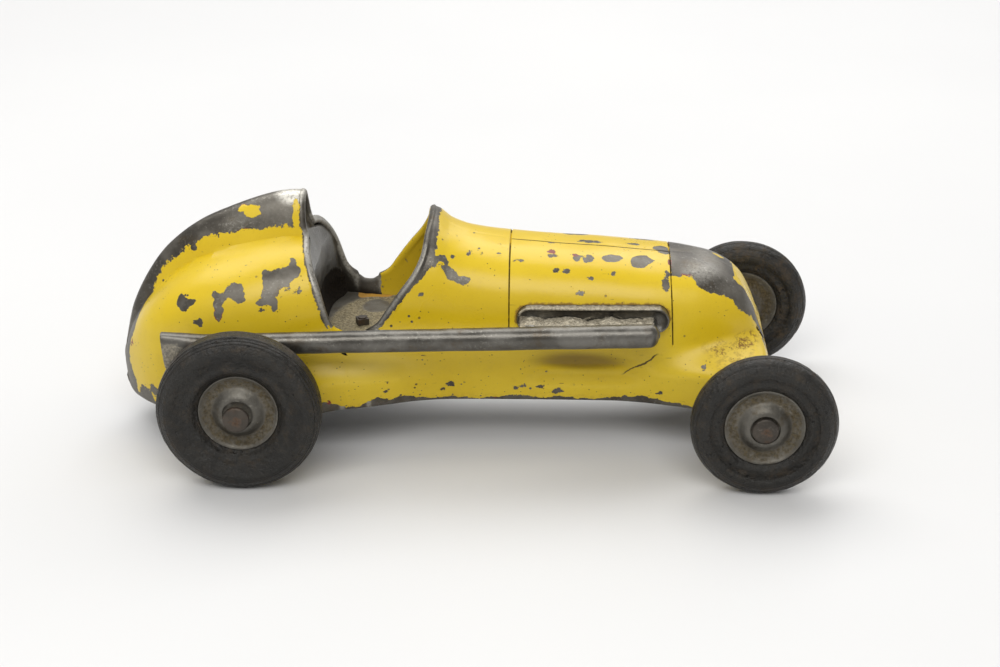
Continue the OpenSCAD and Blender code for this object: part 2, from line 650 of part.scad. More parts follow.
module motor_pillar_screws() {
    color("gray") for (p = pillars) for (s = [-1, 1])
        translate([p[0], s * (motor_y + motor_t), p[1]]) rotate([90 * s, 0, 0])
            slotted_screw(1, 1.9, 5);
}

module motor_foot_screws() {
    color("gray") motor_foot_places() translate([0, 0, pan_low_z])
        sunk_screw(foot_screw_r, 2, 4);
}

body_shell();
belly_pan();
pan_screws();
cockpit_floor();
floor_post();
floor_bolt();
floor_nut();
seat_back();
exhaust();
exhaust_screws();
front_axle();
front_washers();
front_left_hub();
front_left_tyre();
front_right_hub();
front_right_tyre();
rear_axle();
rear_bushes();
rear_washers();
rear_left_hub();
rear_left_tyre();
rear_right_hub();
rear_right_tyre();
axle_pinion();
idler_wheel();
idler_pinion();
idler_arbor();
spring_gear();
spring_arbor();
mainspring();
spring_post();
motor_plate_left();
motor_plate_right();
motor_pillars();
motor_pillar_screws();
motor_foot_screws();
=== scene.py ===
"""Looks of a worn cast racing car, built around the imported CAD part. Shapes are in millimetres and scaled once."""

import math

import bpy
import numpy as np
from mathutils import Matrix, Vector, noise


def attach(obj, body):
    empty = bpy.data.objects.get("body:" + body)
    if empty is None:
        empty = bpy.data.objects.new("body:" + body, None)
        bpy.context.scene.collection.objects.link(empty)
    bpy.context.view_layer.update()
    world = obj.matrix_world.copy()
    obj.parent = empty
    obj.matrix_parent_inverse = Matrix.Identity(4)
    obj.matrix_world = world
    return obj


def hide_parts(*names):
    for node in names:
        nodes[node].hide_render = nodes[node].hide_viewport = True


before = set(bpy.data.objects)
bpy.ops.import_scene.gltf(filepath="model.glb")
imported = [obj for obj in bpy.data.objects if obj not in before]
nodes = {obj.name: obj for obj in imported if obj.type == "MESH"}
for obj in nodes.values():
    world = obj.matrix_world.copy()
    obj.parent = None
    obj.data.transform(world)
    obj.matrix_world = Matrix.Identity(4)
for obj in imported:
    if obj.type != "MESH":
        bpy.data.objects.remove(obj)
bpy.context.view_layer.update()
MM = 0.001

# ---------------------------------------------------------------- outlines, as in the CAD source
TOP = [[-120.6, 27], [-119.6, 32.5], [-116.8, 43], [-110.4, 55.5], [-103, 65], [-92, 73.5], [-78, 79.8], [-68, 83.2],
       [-61, 84.7], [-56, 84.6], [-30, 80], [-12, 76.7], [-7, 72.9], [0, 70.2], [13, 68.3], [43, 66.2], [64, 64.4],
       [79, 62.2], [85, 60], [91, 55.4], [95, 48.6], [98.7, 38.6], [100.4, 32], [101.2, 28.5]]
SHOULDER = [[-120.6, 26], [-117, 36.5], [-112, 45], [-107, 51], [-100, 57.4], [-90, 63.4], [-79, 67], [-69, 69.6],
            [-56, 71.4], [-44, 73]]
BODY = [[-120.6, 1.4], [-119.8, 5], [-118, 9.5], [-114.5, 15], [-110.5, 20], [-105, 24.6], [-95, 29], [-85, 31.4],
        [-73, 32.6], [-62, 32.2], [-52, 30.4], [-42, 28], [-30, 26.4], [-12, 25.6], [20, 25.4], [50, 25], [66, 24.2],
        [78, 22.4], [88, 19.6], [95, 15.6], [98.6, 11.6], [100.4, 7.6], [101.2, 4.4]]
FAIRING = [[-120.6, 1], [-117, 3.2], [-110, 5.2], [-100, 6.8], [-88, 8], [-70, 9], [-50, 9.4]]
SKIRT = [[-120.6, 0], [-95, 1], [-78, 2.6], [-60, 4], [-48, 5.8], [-38, 6.2], [-28, 4.4], [-18, 1.6], [-6, 0], [46, 0],
         [58, 1.6], [70, 5.4], [80, 10], [89, 16.6], [95, 21.6], [98.6, 22], [100.4, 20], [101.2, 15]]
SKIRT_TOP = [[-120.6, 30], [-48, 38.5], [-18, 35], [50, 36], [72, 39.5], [88, 42], [101.2, 42]]
EDGE = [[-120.6, 21], [-119.8, 18], [-118.2, 14.8], [-115, 13.6], [-60, 13.6], [-50, 16.2], [-42, 17.4], [0, 17.8],
        [50, 17.8], [101.2, 17.8]]
RIM = [[43, -42], [45, -44.4], [49, -46.2], [60, -49.6], [70, -53.8], [74, -55.2], [80, -55.8], [86, -55.8]]
COWL = [[43, -34], [45, -31.2], [50, -27.8], [57, -23], [63, -18.6], [69, -15.8], [75, -14.6], [78, -13.8]]
RIM_X, COWL_X, SILL, WALL = -42, -34, 42, 2.4
TRAY_Z, TRAY_R = 49.3, 4.25
BEAD_BACK = 1.2


def along(table, x):
    """Smooth curve through the points of an outline."""
    t, x = np.asarray(table, float), np.asarray(x, float)
    k = np.arange(len(t))
    a, b = np.maximum(k - 1, 0), np.minimum(k + 1, len(t) - 1)
    s = (t[b, 1] - t[a, 1]) / (t[b, 0] - t[a, 0])
    i = np.clip(np.searchsorted(t[:, 0], x, side="right") - 1, 0, len(t) - 2)
    h = t[i + 1, 0] - t[i, 0]
    u = np.clip((x - t[i, 0]) / h, 0, 1)
    return (t[i, 1] * (1 + 2 * u) * (1 - u) ** 2 + t[i + 1, 1] * u * u * (3 - 2 * u)
            + h * u * (1 - u) * (s[i] * (1 - u) - s[i + 1] * u))


def smooth(u):
    u = np.clip(u, 0, 1)
    return u * u * (3 - 2 * u)


def smax(a, b, r):
    return (a + b + np.sqrt((a - b) ** 2 + r * r)) / 2


def half_width(x, z):
    """Half width of the casting at any place along it and any height."""
    edge, top = along(EDGE, x), along(TOP, x)
    s = np.where(x < -40, along(SHOULDER, x), top)
    c = np.minimum(42, (edge + 2 * s) / 3)
    w = along(BODY, x)
    u, d = np.maximum((z - c) / (s - c), 0), (c - z) / (c - edge)
    lower = np.where(z < c, w * (1 - 0.16 * d * d),
                     np.where(u < 1, w * np.power(np.maximum(1 - np.minimum(u, 1) ** 2.6, 0), 1 / 2.6), (1 - u) * 60))
    fc = np.minimum(s - 8, top - 10)
    fu = np.clip((z - fc) / (top - fc), 0, 1)
    fair = along(FAIRING, x) * np.sqrt(1 - fu * fu)
    fu = (z - edge) / (along(SKIRT_TOP, x) - edge)
    start = np.where(x > 20, 0.52, 0.46)
    flare = along(SKIRT, x) * (1 - smooth((fu - start) / (1 - start)))
    hollow = 3.0 * np.exp(-((z - 28.4) / 3.6) ** 2) * smooth(1.9 - np.abs(x - 39) / 13)
    return flare - hollow + np.where(x < -40, smax(lower, fair, 3), np.maximum(lower, 0))


def height(x, v):
    edge, top = along(EDGE, x), along(TOP, x)
    split = np.minimum(SILL, edge + 0.62 * (top - edge))
    return edge + (split - edge) * np.minimum(v, 1) + (top - split) * np.sin(np.pi / 2 * np.clip(v - 1, 0, 1))


def place(x0, v):
    """Where station x0 and row v lie: stations slant into the two edges of the cockpit."""
    z = np.full(np.broadcast(x0, v).shape, float(SILL))
    for _ in range(8):
        rim = np.clip((x0 + 80) / (RIM_X + 80), 0, 1) ** 2
        cowl = np.clip((14 - x0) / (14 - COWL_X), 0, 1) ** 1.5
        x = np.where(x0 <= RIM_X, x0 + rim * (along(RIM, z) - BEAD_BACK * smooth((z - 41) / 6) - RIM_X),
                     np.where(x0 < COWL_X, x0, x0 + cowl * (along(COWL, z) + BEAD_BACK * smooth((z - 41) / 6) - COWL_X)))
        x = x + 0.045 * (62 - z) * np.clip(1 - np.abs(x0 - 66.8) / 14, 0, 1) * (z < 62)
        z = height(x, v)
    away = np.abs(x0 - (RIM_X + COWL_X) / 2)
    sag = 0.9 * np.maximum(1 - (away / 5.2) ** 2, 0) - np.exp(-((away - 4.2) / 1.5) ** 2)
    return x, z - sag * np.where(v < 1, np.minimum(v, 1) ** 4, 1 - smooth((v - 1) / 0.2))


def mesh_object(name, points, faces, angle=35, scale=MM):
    mesh = bpy.data.meshes.new(name)
    mesh.from_pydata([tuple(p) for p in np.asarray(points, float) * scale], [], [tuple(map(int, f)) for f in faces])
    mesh.validate()
    ob = bpy.data.objects.new(name, mesh)
    bpy.context.scene.collection.objects.link(ob)
    clean(ob, angle)
    return ob


def clean(ob, angle=35):
    import bmesh
    bm = bmesh.new()
    bm.from_mesh(ob.data)
    bmesh.ops.remove_doubles(bm, verts=bm.verts, dist=2e-7)
    bmesh.ops.recalc_face_normals(bm, faces=bm.faces)
    for f in bm.faces:
        f.smooth = True
    bm.to_mesh(ob.data)
    bm.free()
    ob.data.set_sharp_from_angle(angle=math.radians(angle))


def grid_faces(rows, cols, close_cols=False, start=0, flip=False):
    out = []
    for i in range(rows - 1):
        for j in range(cols if close_cols else cols - 1):
            k = (j + 1) % cols
            q = (start + i * cols + j, start + i * cols + k, start + (i + 1) * cols + k, start + (i + 1) * cols + j)
            out.append(q[::-1] if flip else q)
    return out


def lathe(profile, steps, closed=True):
    """Points and faces of a ring-shaped solid: profile of (radius, offset along the axis), turned about +Y."""
    a = np.arange(steps) * 2 * np.pi / steps
    pts = np.array([[r * np.cos(t), w, r * np.sin(t)] for r, w in profile for t in a])
    return pts, grid_faces(len(profile) + (1 if closed else 0), steps, True)[:]


def wrap(faces, count):
    return [tuple(v % count for v in f) for f in faces]


def lump(points, amount, size, seed=0):
    """Noise value for each point, in mm."""
    off = Vector((seed * 7.3, seed * 3.1, seed * 5.7))
    return np.array([noise.noise(Vector(p) / size + off) for p in points]) * amount


def boolean(ob, cutters):
    """Cuts a list of closed objects out of ob."""
    dg = bpy.context.evaluated_depsgraph_get()
    for cutter in cutters:
        mod = ob.modifiers.new("cut", "BOOLEAN")
        mod.operation, mod.solver, mod.object = "DIFFERENCE", "MANIFOLD", cutter
    dg.update()
    mesh = bpy.data.meshes.new_from_object(ob.evaluated_get(bpy.context.evaluated_depsgraph_get()))
    ob.modifiers.clear()
    old, ob.data = ob.data, mesh
    bpy.data.meshes.remove(old)
    for cutter in cutters:
        bpy.data.objects.remove(cutter)


def prism(name, outline, y0, y1):
    """Closed prism of an (x, z) outline between two places along Y."""
    n = len(outline)
    pts = [(x, y0, z) for x, z in outline] + [(x, y1, z) for x, z in outline]
    faces = [tuple(range(n)), tuple(range(2 * n - 1, n - 1, -1))]
    faces += [(i, (i + 1) % n, n + (i + 1) % n, n + i) for i in range(n)]
    return mesh_object(name, pts, faces)


def stadium(x0, x1, z, r, steps=14):
    a = np.linspace(-np.pi / 2, np.pi / 2, steps)
    right = [(x1 - r + r * np.cos(t), z + r * np.sin(t)) for t in a]
    left = [(x0 + r - r * np.cos(t), z - r * np.sin(t)) for t in a]
    return right + left


def circle(x, z, r, steps=40):
    return [(x + r * math.cos(t), z + r * math.sin(t)) for t in np.arange(steps) * 2 * math.pi / steps]


# ---------------------------------------------------------------- materials
class Mat:
    """A procedural material: object coordinates in, one Principled shader out."""

    def __init__(self, name, roughness=0.5, metallic=0.0, specular=0.5, coat=0.0, coat_roughness=0.1):
        self.m = bpy.data.materials.new(name)
        self.m.use_nodes = True
        self.t = self.m.node_tree
        self.t.nodes.clear()
        out = self.t.nodes.new("ShaderNodeOutputMaterial")
        self.b = self.t.nodes.new("ShaderNodeBsdfPrincipled")
        self.t.links.new(self.b.outputs[0], out.inputs[0])
        self.set("Roughness", roughness)
        self.set("Metallic", metallic)
        self.set("Specular IOR Level", specular)
        self.set("Coat Weight", coat)
        self.set("Coat Roughness", coat_roughness)
        self.obj = self.t.nodes.new("ShaderNodeTexCoord").outputs["Object"]

    def set(self, name, value):
        if isinstance(value, bpy.types.NodeSocket):
            self.t.links.new(value, self.b.inputs[name])
        else:
            self.b.inputs[name].default_value = value

    def put(self, socket, value):
        if isinstance(value, bpy.types.NodeSocket):
            self.t.links.new(value, socket)
        elif value is not None:
            if hasattr(socket.default_value, "__len__") and not hasattr(value, "__len__"):
                value = (value,) * len(socket.default_value)
            socket.default_value = (*value, 1) if hasattr(value, "__len__") and len(value) == 3 and len(
                socket.default_value) == 4 else value

    def noise(self, scale, detail=4, rough=0.55, warp=0.0, vec=None, stretch=None):
        n = self.t.nodes.new("ShaderNodeTexNoise")
        n.inputs["Scale"].default_value = scale
        n.inputs["Detail"].default_value = detail
        n.inputs["Roughness"].default_value = rough
        n.inputs["Distortion"].default_value = warp
        vec = vec or self.obj
        if stretch:
            m = self.t.nodes.new("ShaderNodeMapping")
            m.inputs["Scale"].default_value = stretch
            self.t.links.new(vec, m.inputs["Vector"])
            vec = m.outputs[0]
        self.t.links.new(vec, n.inputs["Vector"])
        return n.outputs["Fac"]

    def cells(self, scale, feature="F1", out="Distance"):
        n = self.t.nodes.new("ShaderNodeTexVoronoi")
        n.feature = feature
        n.inputs["Scale"].default_value = scale
        self.t.links.new(self.obj, n.inputs["Vector"])
        return n.outputs[out]

    def do(self, op, a, b=None, c=None, clamp=False):
        n = self.t.nodes.new("ShaderNodeMath")
        n.operation, n.use_clamp = op, clamp
        for i, v in enumerate((a, b, c)):
            self.put(n.inputs[i], v)
        return n.outputs[0]

    def step(self, v, lo, hi, a=0.0, b=1.0):
        """Smooth step of v between lo and hi, to values a and b."""
        n = self.t.nodes.new("ShaderNodeMapRange")
        n.interpolation_type = "SMOOTHSTEP"
        for k, s in zip(("Value", "From Min", "From Max", "To Min", "To Max"), (v, lo, hi, a, b)):
            self.put(n.inputs[k], s)
        return n.outputs[0]

    def mix(self, f, a, b, kind="MIX"):
        n = self.t.nodes.new("ShaderNodeMix")
        n.data_type, n.blend_type = "RGBA", kind
        self.put(n.inputs["Factor"], f)
        self.put(n.inputs[6], a)
        self.put(n.inputs[7], b)
        return n.outputs[2]

    def attr(self, name):
        n = self.t.nodes.new("ShaderNodeAttribute")
        n.attribute_name = name
        return n.outputs["Fac"]

    def part(self, axis):
        n = self.t.nodes.new("ShaderNodeSeparateXYZ")
        self.t.links.new(self.obj, n.inputs[0])
        return n.outputs[axis]

    def bump(self, h, distance, strength=1.0, under=None):
        n = self.t.nodes.new("ShaderNodeBump")
        n.inputs["Distance"].default_value = distance
        n.inputs["Strength"].default_value = strength
        self.t.links.new(h, n.inputs["Height"])
        if under is not None:
            self.t.links.new(under, n.inputs["Normal"])
        return n.outputs[0]


def metal_colours(m, dark, mid, light, grime, grain=900):
    """Mottled old metal: stain patches, fine grain and brown grime."""
    big = m.noise(90, 5, 0.6)
    fine = m.noise(grain, 5, 0.7)
    streak = m.noise(260, 4, 0.6, stretch=(0.35, 1, 1))
    c = m.mix(m.step(big, 0.36, 0.66), dark, mid)
    c = m.mix(m.do("MULTIPLY", m.step(fine, 0.5, 0.78), m.step(streak, 0.42, 0.7)), c, light)
    return m.mix(m.do("MULTIPLY", m.step(m.noise(150, 6, 0.65), 0.52, 0.72), 0.75), c, grime), big, fine, streak


def paint_material():
    m = Mat("worn_yellow_enamel", specular=0.4)
    ragged = m.do("ADD", m.do("MULTIPLY", m.do("SUBTRACT", m.noise(420, 6, 0.62, 0.4), 0.5), 3.2),
                  m.do("MULTIPLY", m.do("SUBTRACT", m.noise(2300, 3, 0.6), 0.5), 0.7))
    w = m.do("ADD", m.attr("wear"), ragged)
    # small scattered chips, pits and specks, thicker towards the lower edge
    low = m.step(m.part("Z"), 0.036, 0.018, 0.0, 0.11)
    region = m.do("ADD", m.noise(75, 3, 0.5), low)
    spot = m.do("MULTIPLY", m.step(m.cells(330), 0.17, 0.12), m.step(region, 0.60, 0.66))
    speck = m.do("MULTIPLY", m.step(m.cells(620), 0.15, 0.09), m.step(m.do("ADD", m.noise(140, 3, 0.5), low), 0.50, 0.58))
    pits = m.do("MAXIMUM", spot, speck, clamp=True)
    inside = m.attr("inside")
    bare = m.do("MAXIMUM", m.step(w, -0.05, 0.05), m.do("MULTIPLY", spot, m.step(m.noise(210, 2, 0.5), 0.47, 0.5)), clamp=True)
    bare = m.do("MAXIMUM", bare, m.do("MULTIPLY", inside, m.step(m.noise(160, 5, 0.6), 0.62, 0.7)), clamp=True)
    # enamel, with darker rub marks, brown pits, rust, a paler nose face, painted highlights on the front shelf and the
    # rear flare, slightly darker paint on the inner walls, and a painted shadow under the exhaust
    tone = m.noise(26, 4, 0.5)
    c = m.mix(m.step(tone, 0.35, 0.7), (0.68, 0.475, 0.012), (0.735, 0.53, 0.024))
    c = m.mix(m.do("MULTIPLY", m.step(m.noise(300, 5, 0.7), 0.5, 0.8), 0.22), c, (0.50, 0.33, 0.03))
    c = m.mix(m.do("MULTIPLY", m.step(m.noise(1500, 3, 0.7), 0.58, 0.75), 0.25), c, (0.42, 0.27, 0.02))
    # paler paint on the nose's front face; painted highlights on the shelf over the front wheel and on the rear flare
    c = m.mix(m.do("MULTIPLY", m.attr("pale_nose_and_painted_highlight"), 0.6), c, (0.80, 0.64, 0.22))
    scratch = m.do("MULTIPLY", m.step(m.noise(520, 2, 0.5, 1.4, stretch=(0.18, 1, 1.7)), 0.715, 0.745),
                   m.step(m.noise(60, 2, 0.5), 0.50, 0.58))
    c = m.mix(m.do("MULTIPLY", m.do("MAXIMUM", scratch, pits), 0.85), c, (0.075, 0.048, 0.02))
    soil = m.do("MULTIPLY", m.attr("soil"), m.step(m.noise(520, 6, 0.75), 0.47, 0.60))
    stain = m.do("ADD", m.attr("flange_gap"), m.do("MULTIPLY", m.do("SUBTRACT", m.noise(450, 5, 0.7), 0.5), 3.4))
    soil = m.do("MAXIMUM", soil, m.step(stain, 1.0, 0.1, 0.0, 0.9), clamp=True)
    c = m.mix(m.do("MULTIPLY", soil, 0.85), c, (0.16, 0.062, 0.014))
    c = m.mix(m.do("MULTIPLY", inside, 0.12), c, (0.45, 0.28, 0.02))
    # painted shadow under the front end of the exhaust
    c = m.mix(m.do("MULTIPLY", m.attr("painted_pipe_shadow"), m.step(tone, 0.2, 0.8, 0.7, 0.9)), c, (0.165, 0.095, 0.008))
    # bare metal
    metal, big, fine, streak = metal_colours(m, (0.085, 0.077, 0.065), (0.17, 0.158, 0.136), (0.50, 0.48, 0.43),
                                             (0.10, 0.078, 0.05), 1100)
    metal = m.mix(m.do("MULTIPLY", m.attr("polish"), m.step(fine, 0.25, 0.55)), metal, (0.66, 0.64, 0.58))
    # near-black darkening of the bare metal low in the cockpit's rear
    rear_darkening = m.do("MULTIPLY", m.attr("rear_interior_darkening"), m.step(m.noise(500, 5, 0.7), 0.15, 0.45, 0.55, 1.0))
    metal = m.mix(m.do("MULTIPLY", rear_darkening, 0.97), metal, (0.020, 0.016, 0.011))
    edge = m.do("MULTIPLY", m.step(m.noise(55, 3, 0.5), 0.66, 0.69), m.step(w, 0.7, 0.15))
    edge = m.do("MAXIMUM", edge, m.step(m.do("ADD", m.attr("primer"), m.do("MULTIPLY", ragged, 0.5)), -0.1, 0.15))
    primer = m.do("MULTIPLY", edge, m.step(m.noise(900, 3, 0.6), 0.38, 0.5))
    metal = m.mix(primer, metal, (0.24, 0.030, 0.022))
    bare = m.do("MAXIMUM", bare, m.step(m.do("ADD", m.attr("primer"), ragged), 0.1, 0.2), clamp=True)
    c = m.mix(bare, c, metal)
    crack_line = m.do("ABSOLUTE", m.do("ADD", m.attr("crack"), m.do("MULTIPLY", m.do("SUBTRACT", m.noise(260, 4, 0.6), 0.5), 1.6)))
    seam = m.do("MULTIPLY", m.step(m.attr("seam"), 0.45, 0.8), m.step(m.noise(380, 5, 0.7), 0.28, 0.5, 0.45, 1.0))
    lines = m.do("MAXIMUM", seam, m.do("MULTIPLY", m.attr("crack_reach"), m.step(crack_line, 0.34, 0.16)), clamp=True)
    c = m.mix(m.do("MULTIPLY", lines, 0.9), c, (0.03, 0.018, 0.010))
    m.set("Base Color", c)
    rough = m.mix(bare, m.step(tone, 0.3, 0.7, 0.27, 0.36), m.step(big, 0.3, 0.7, 0.34, 0.50))
    m.set("Roughness", m.do("ADD", rough, m.do("MULTIPLY", m.do("MAXIMUM", m.do("MAXIMUM", soil, lines), inside), 0.3)))
    m.set("Metallic", m.do("MULTIPLY", m.do("MULTIPLY", bare, m.step(primer, 0, 1, 0.78, 0.0)), m.step(inside, 0, 1, 1.0, 0.45)))
    low_relief = m.bump(m.noise(45, 3, 0.5), 0.0009, 0.3)
    grain = m.do("ADD", m.do("MULTIPLY", fine, bare), m.do("MULTIPLY", m.noise(700, 3, 0.6), 0.10))
    coat = m.do("SUBTRACT", 1.0, m.do("MAXIMUM", bare, pits, clamp=True))
    m.set("Normal", m.bump(coat, 0.00012, 1.0, m.bump(grain, 0.00012, 0.5, low_relief)))
    return m.m


def metal_material(name, dark, mid, light, grime, metallic=0.75, rough=(0.38, 0.58), bump=0.5, dust=None, grain=900,
                   second=None):
    m = Mat(name)
    c, big, fine, streak = metal_colours(m, dark, mid, light, grime, grain)
    if dust is not None:
        d = m.step(m.do("ADD", m.attr("dust"), m.do("SUBTRACT", m.noise(600, 6, 0.7), 0.5)), 0.15, 0.85)
        grit = m.step(m.noise(1300, 4, 0.7), 0.34, 0.66)
        c = m.mix(d, c, m.mix(grit, tuple(0.55 * v for v in dust), tuple(1.3 * v for v in dust)))
        if second is not None:
            c = m.mix(m.step(m.do("ADD", m.attr("second"), m.do("SUBTRACT", m.noise(260, 5, 0.7), 0.5)), 0.4, 0.6), c, second)
        m.set("Metallic", m.step(d, 0, 0.7, metallic, 0.0))
        m.set("Specular IOR Level", m.step(d, 0.2, 0.9, 0.5, 0.12))
        m.set("Roughness", m.do("MAXIMUM", m.step(big, 0.3, 0.7, *rough), m.do("MULTIPLY", d, 0.9)))
    else:
        m.set("Metallic", metallic)
        m.set("Roughness", m.step(big, 0.3, 0.7, *rough))
    m.set("Base Color", c)
    m.set("Normal", m.bump(fine, 0.00013, bump, m.bump(m.noise(120, 4, 0.6), 0.0006, 0.4)))
    return m.m


def rubber_material():
    m = Mat("old_rubber", specular=0.42)
    big, fine = m.noise(70, 5, 0.6), m.noise(900, 6, 0.7)
    c = m.mix(m.step(big, 0.35, 0.7), (0.0085, 0.0076, 0.0060), (0.0155, 0.0140, 0.0112))
    dust = m.do("MULTIPLY", m.attr("dust"), m.step(m.noise(230, 6, 0.75), 0.44, 0.70))
    c = m.mix(m.do("MULTIPLY", dust, 0.45), c, (0.105, 0.070, 0.036))
    c = m.mix(m.do("MULTIPLY", m.step(fine, 0.60, 0.8), 0.30), c, (0.10, 0.092, 0.075))
    nick = m.do("MULTIPLY", m.step(m.cells(430), 0.22, 0.12), m.step(m.noise(90, 3, 0.5), 0.49, 0.54))
    c = m.mix(nick, c, (0.006, 0.005, 0.004))
    m.set("Base Color", c)
    m.set("Roughness", m.do("ADD", m.step(fine, 0.3, 0.75, 0.27, 0.46), m.do("MULTIPLY", dust, 0.35)))
    deep = m.bump(m.do("SUBTRACT", 1.0, nick), 0.0003, 0.8, m.bump(m.noise(150, 6, 0.72), 0.0022, 0.8))
    m.set("Normal", m.bump(fine, 0.00018, 0.8, deep))
    return m.m


def floor_material():
    m = Mat("pale_backdrop", roughness=0.6, specular=0.25)
    m.set("Base Color", m.mix(m.step(m.noise(3, 3, 0.5), 0.3, 0.7), (0.70, 0.702, 0.708), (0.725, 0.727, 0.73)))
    return m.m


PAINT = paint_material()
CAST = metal_material("bare_cast_metal", (0.10, 0.094, 0.083), (0.18, 0.172, 0.155), (0.36, 0.345, 0.31),
                      (0.085, 0.066, 0.045), 0.85, (0.28, 0.44), dust=(0.40, 0.36, 0.28))
HUB = metal_material("grimy_hub_metal", (0.095, 0.089, 0.076), (0.165, 0.156, 0.136), (0.38, 0.36, 0.31),
                     (0.070, 0.053, 0.030), 0.75, (0.38, 0.54), 0.7, dust=(0.078, 0.060, 0.032), grain=700)
STEEL = metal_material("rusty_axle_steel", (0.050, 0.043, 0.036), (0.090, 0.076, 0.062), (0.16, 0.14, 0.12),
                       (0.10, 0.05, 0.024), 0.6, (0.42, 0.60), 0.7, dust=(0.105, 0.055, 0.028))
FLOOR_PLATE = metal_material("dusty_floor_metal", (0.085, 0.078, 0.062), (0.13, 0.12, 0.098), (0.20, 0.19, 0.16),
                             (0.08, 0.06, 0.035), 0.35, (0.5, 0.7), dust=(0.27, 0.23, 0.145),
                             second=(0.50, 0.27, 0.05))
SHEET = metal_material("dark_sheet_metal", (0.05, 0.049, 0.047), (0.09, 0.088, 0.084), (0.20, 0.195, 0.185),
                       (0.075, 0.05, 0.03), 0.7, (0.42, 0.6))
PLATE = metal_material("rolled_steel_plate", (0.22, 0.22, 0.215), (0.34, 0.34, 0.335), (0.50, 0.50, 0.49),
                       (0.16, 0.12, 0.08), 0.95, (0.28, 0.42))
BRASS = metal_material("old_brass", (0.20, 0.135, 0.045), (0.34, 0.235, 0.08), (0.52, 0.38, 0.15),
                       (0.11, 0.07, 0.03), 0.95, (0.30, 0.46), 0.3)
SPRING = metal_material("blued_spring_steel", (0.05, 0.06, 0.085), (0.09, 0.105, 0.14), (0.17, 0.19, 0.24),
                        (0.07, 0.055, 0.05), 0.95, (0.22, 0.36), 0.3)
SCREW = metal_material("dull_screw_metal", (0.13, 0.125, 0.115), (0.23, 0.225, 0.21), (0.36, 0.35, 0.33),
                       (0.12, 0.085, 0.05), 0.85, (0.36, 0.55))
# the seat's dust colour is near black: it darkens the bulkhead towards the floor
SEAT = metal_material("grey_seat_metal", (0.11, 0.105, 0.095), (0.20, 0.193, 0.175), (0.40, 0.385, 0.35),
                      (0.10, 0.078, 0.05), 0.8, (0.28, 0.42), dust=(0.016, 0.013, 0.010))
RUBBER = rubber_material()


def finish_piece(ob, material, body, replaces=()):
    ob.data.materials.clear()
    ob.data.materials.append(material)
    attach(ob, body)
    if replaces:
        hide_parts(*replaces)
    return ob


def field(ob, name, function):
    """Stores a value for each point, worked out from its place in mm."""
    co = np.empty(len(ob.data.vertices) * 3)
    ob.data.vertices.foreach_get("co", co)
    values = function(*(co.reshape(-1, 3).T / MM))
    layer = ob.data.attributes.new(name, "FLOAT", "POINT")
    layer.data.foreach_set("value", np.asarray(values, np.float32).ravel())


# ---------------------------------------------------------------- body casting
def spread(a, b, n, power=1.0):
    return a + (b - a) * np.linspace(0, 1, n, endpoint=False) ** power


GROOVE = np.array([-0.26, -0.13, 0, 0.13, 0.26])
GROOVE_DEPTH = np.array([0, 0.75, 1, 0.75, 0])
HOOD_REAR, HOOD_FRONT, HINGE_Y = 13.3, 66.8, -1.5
stations = np.concatenate([
    spread(-120, -110, 18, 1.5), spread(-110, -80, 42), spread(-80, -46, 50), spread(-46, RIM_X, 9),
    spread(RIM_X, COWL_X, 12), spread(COWL_X, -30, 9), spread(-30, 12.8, 58), HOOD_REAR + GROOVE,
    spread(13.8, 66.3, 70), HOOD_FRONT + GROOVE, spread(67.4, 92, 34), spread(92, 101.2, 22), [101.2]])
tight = np.array([0.85, 0.7, 0.56, 0.44, 0.385, 0.36, 0.335, 0.31, 0.285, 0.2, 0.1])
low_rows = np.linspace(0, 1, 23)
high_rows = 1 + np.arange(1, 48) / 50


def ring_rows(x0):
    """Row values of every station: even rows, then rows at set shares of the width near the crown."""
    base = np.concatenate([low_rows, high_rows])
    rows = np.tile(base, (len(x0), 1))
    x, z = place(x0, np.full(len(x0), base[-1]))
    target = half_width(x, z)[:, None] * tight[None, :]
    lo, hi = np.full(target.shape, base[-1]), np.full(target.shape, 2.0)
    for _ in range(26):
        mid = (lo + hi) / 2
        x, z = place(x0[:, None], mid)
        wide = half_width(x, z) > target
        lo, hi = np.where(wide, mid, lo), np.where(wide, hi, mid)
    return np.concatenate([rows, (lo + hi) / 2, np.full((len(x0), 1), 2.0)], 1)


def skins():
    """Outer and inner grids of the casting, each [station, row, xyz], from the right edge over to the left edge."""
    v = ring_rows(stations)
    x, z = place(stations[:, None], v)
    y = np.maximum(half_width(x, z), 0.01 * np.arange(v.shape[1])[::-1])
    inner_x0 = np.where(stations < -80, stations + WALL * (-80 - stations) / 40.6,
                        np.where(stations > 60, stations - WALL * (stations - 60) / 41.2, stations))
    ix, iz = place(inner_x0[:, None], v)
    s = (half_width(ix, iz + 0.2) - half_width(ix, iz - 0.2)) / 0.4
    s[:, 0] = 0
    n0, n1 = 1 / np.sqrt(1 + s * s), -s / np.sqrt(1 + s * s)
    n0[:, -1], n1[:, -1] = 0, 1
    hw = half_width(ix, iz)
    least = 0.03 * np.arange(v.shape[1])[::-1]
    iy = np.maximum(np.maximum(hw - WALL * n0, hw * 0.3), least)
    iy[:, -1] = 0
    iz = iz - WALL * n1
    out = []
    for px, py, pz, tail_bulge, nose_bulge in ((x, y, z, 0.6, 0.9), (ix, iy, iz, 0.2, 0.3)):
        near = np.stack([px, -py, pz], -1)
        far = np.stack([px, py, pz], -1)[:, -2::-1]
        g = np.concatenate([near, far], 1)
        ends = []
        for first, bulge in ((g[0], -tail_bulge), (g[-1], nose_bulge)):
            rings = []
            for t in np.linspace(0, np.pi / 2, 10)[1:]:
                r = first.copy()
                r[:, 1] *= np.cos(t) if t < 1.57 else 0
                share = (r[:, 2] - r[:, 2].min()) / (np.ptp(r[:, 2]) + 1e-9) * 2 - 1
                r[:, 0] += bulge * np.sin(t) * (1.03 - np.abs(share) ** 3)
                rings.append(r)
            ends.append(rings)
        out.append(np.concatenate([ends[0][::-1], g, ends[1]]))
    return out, v


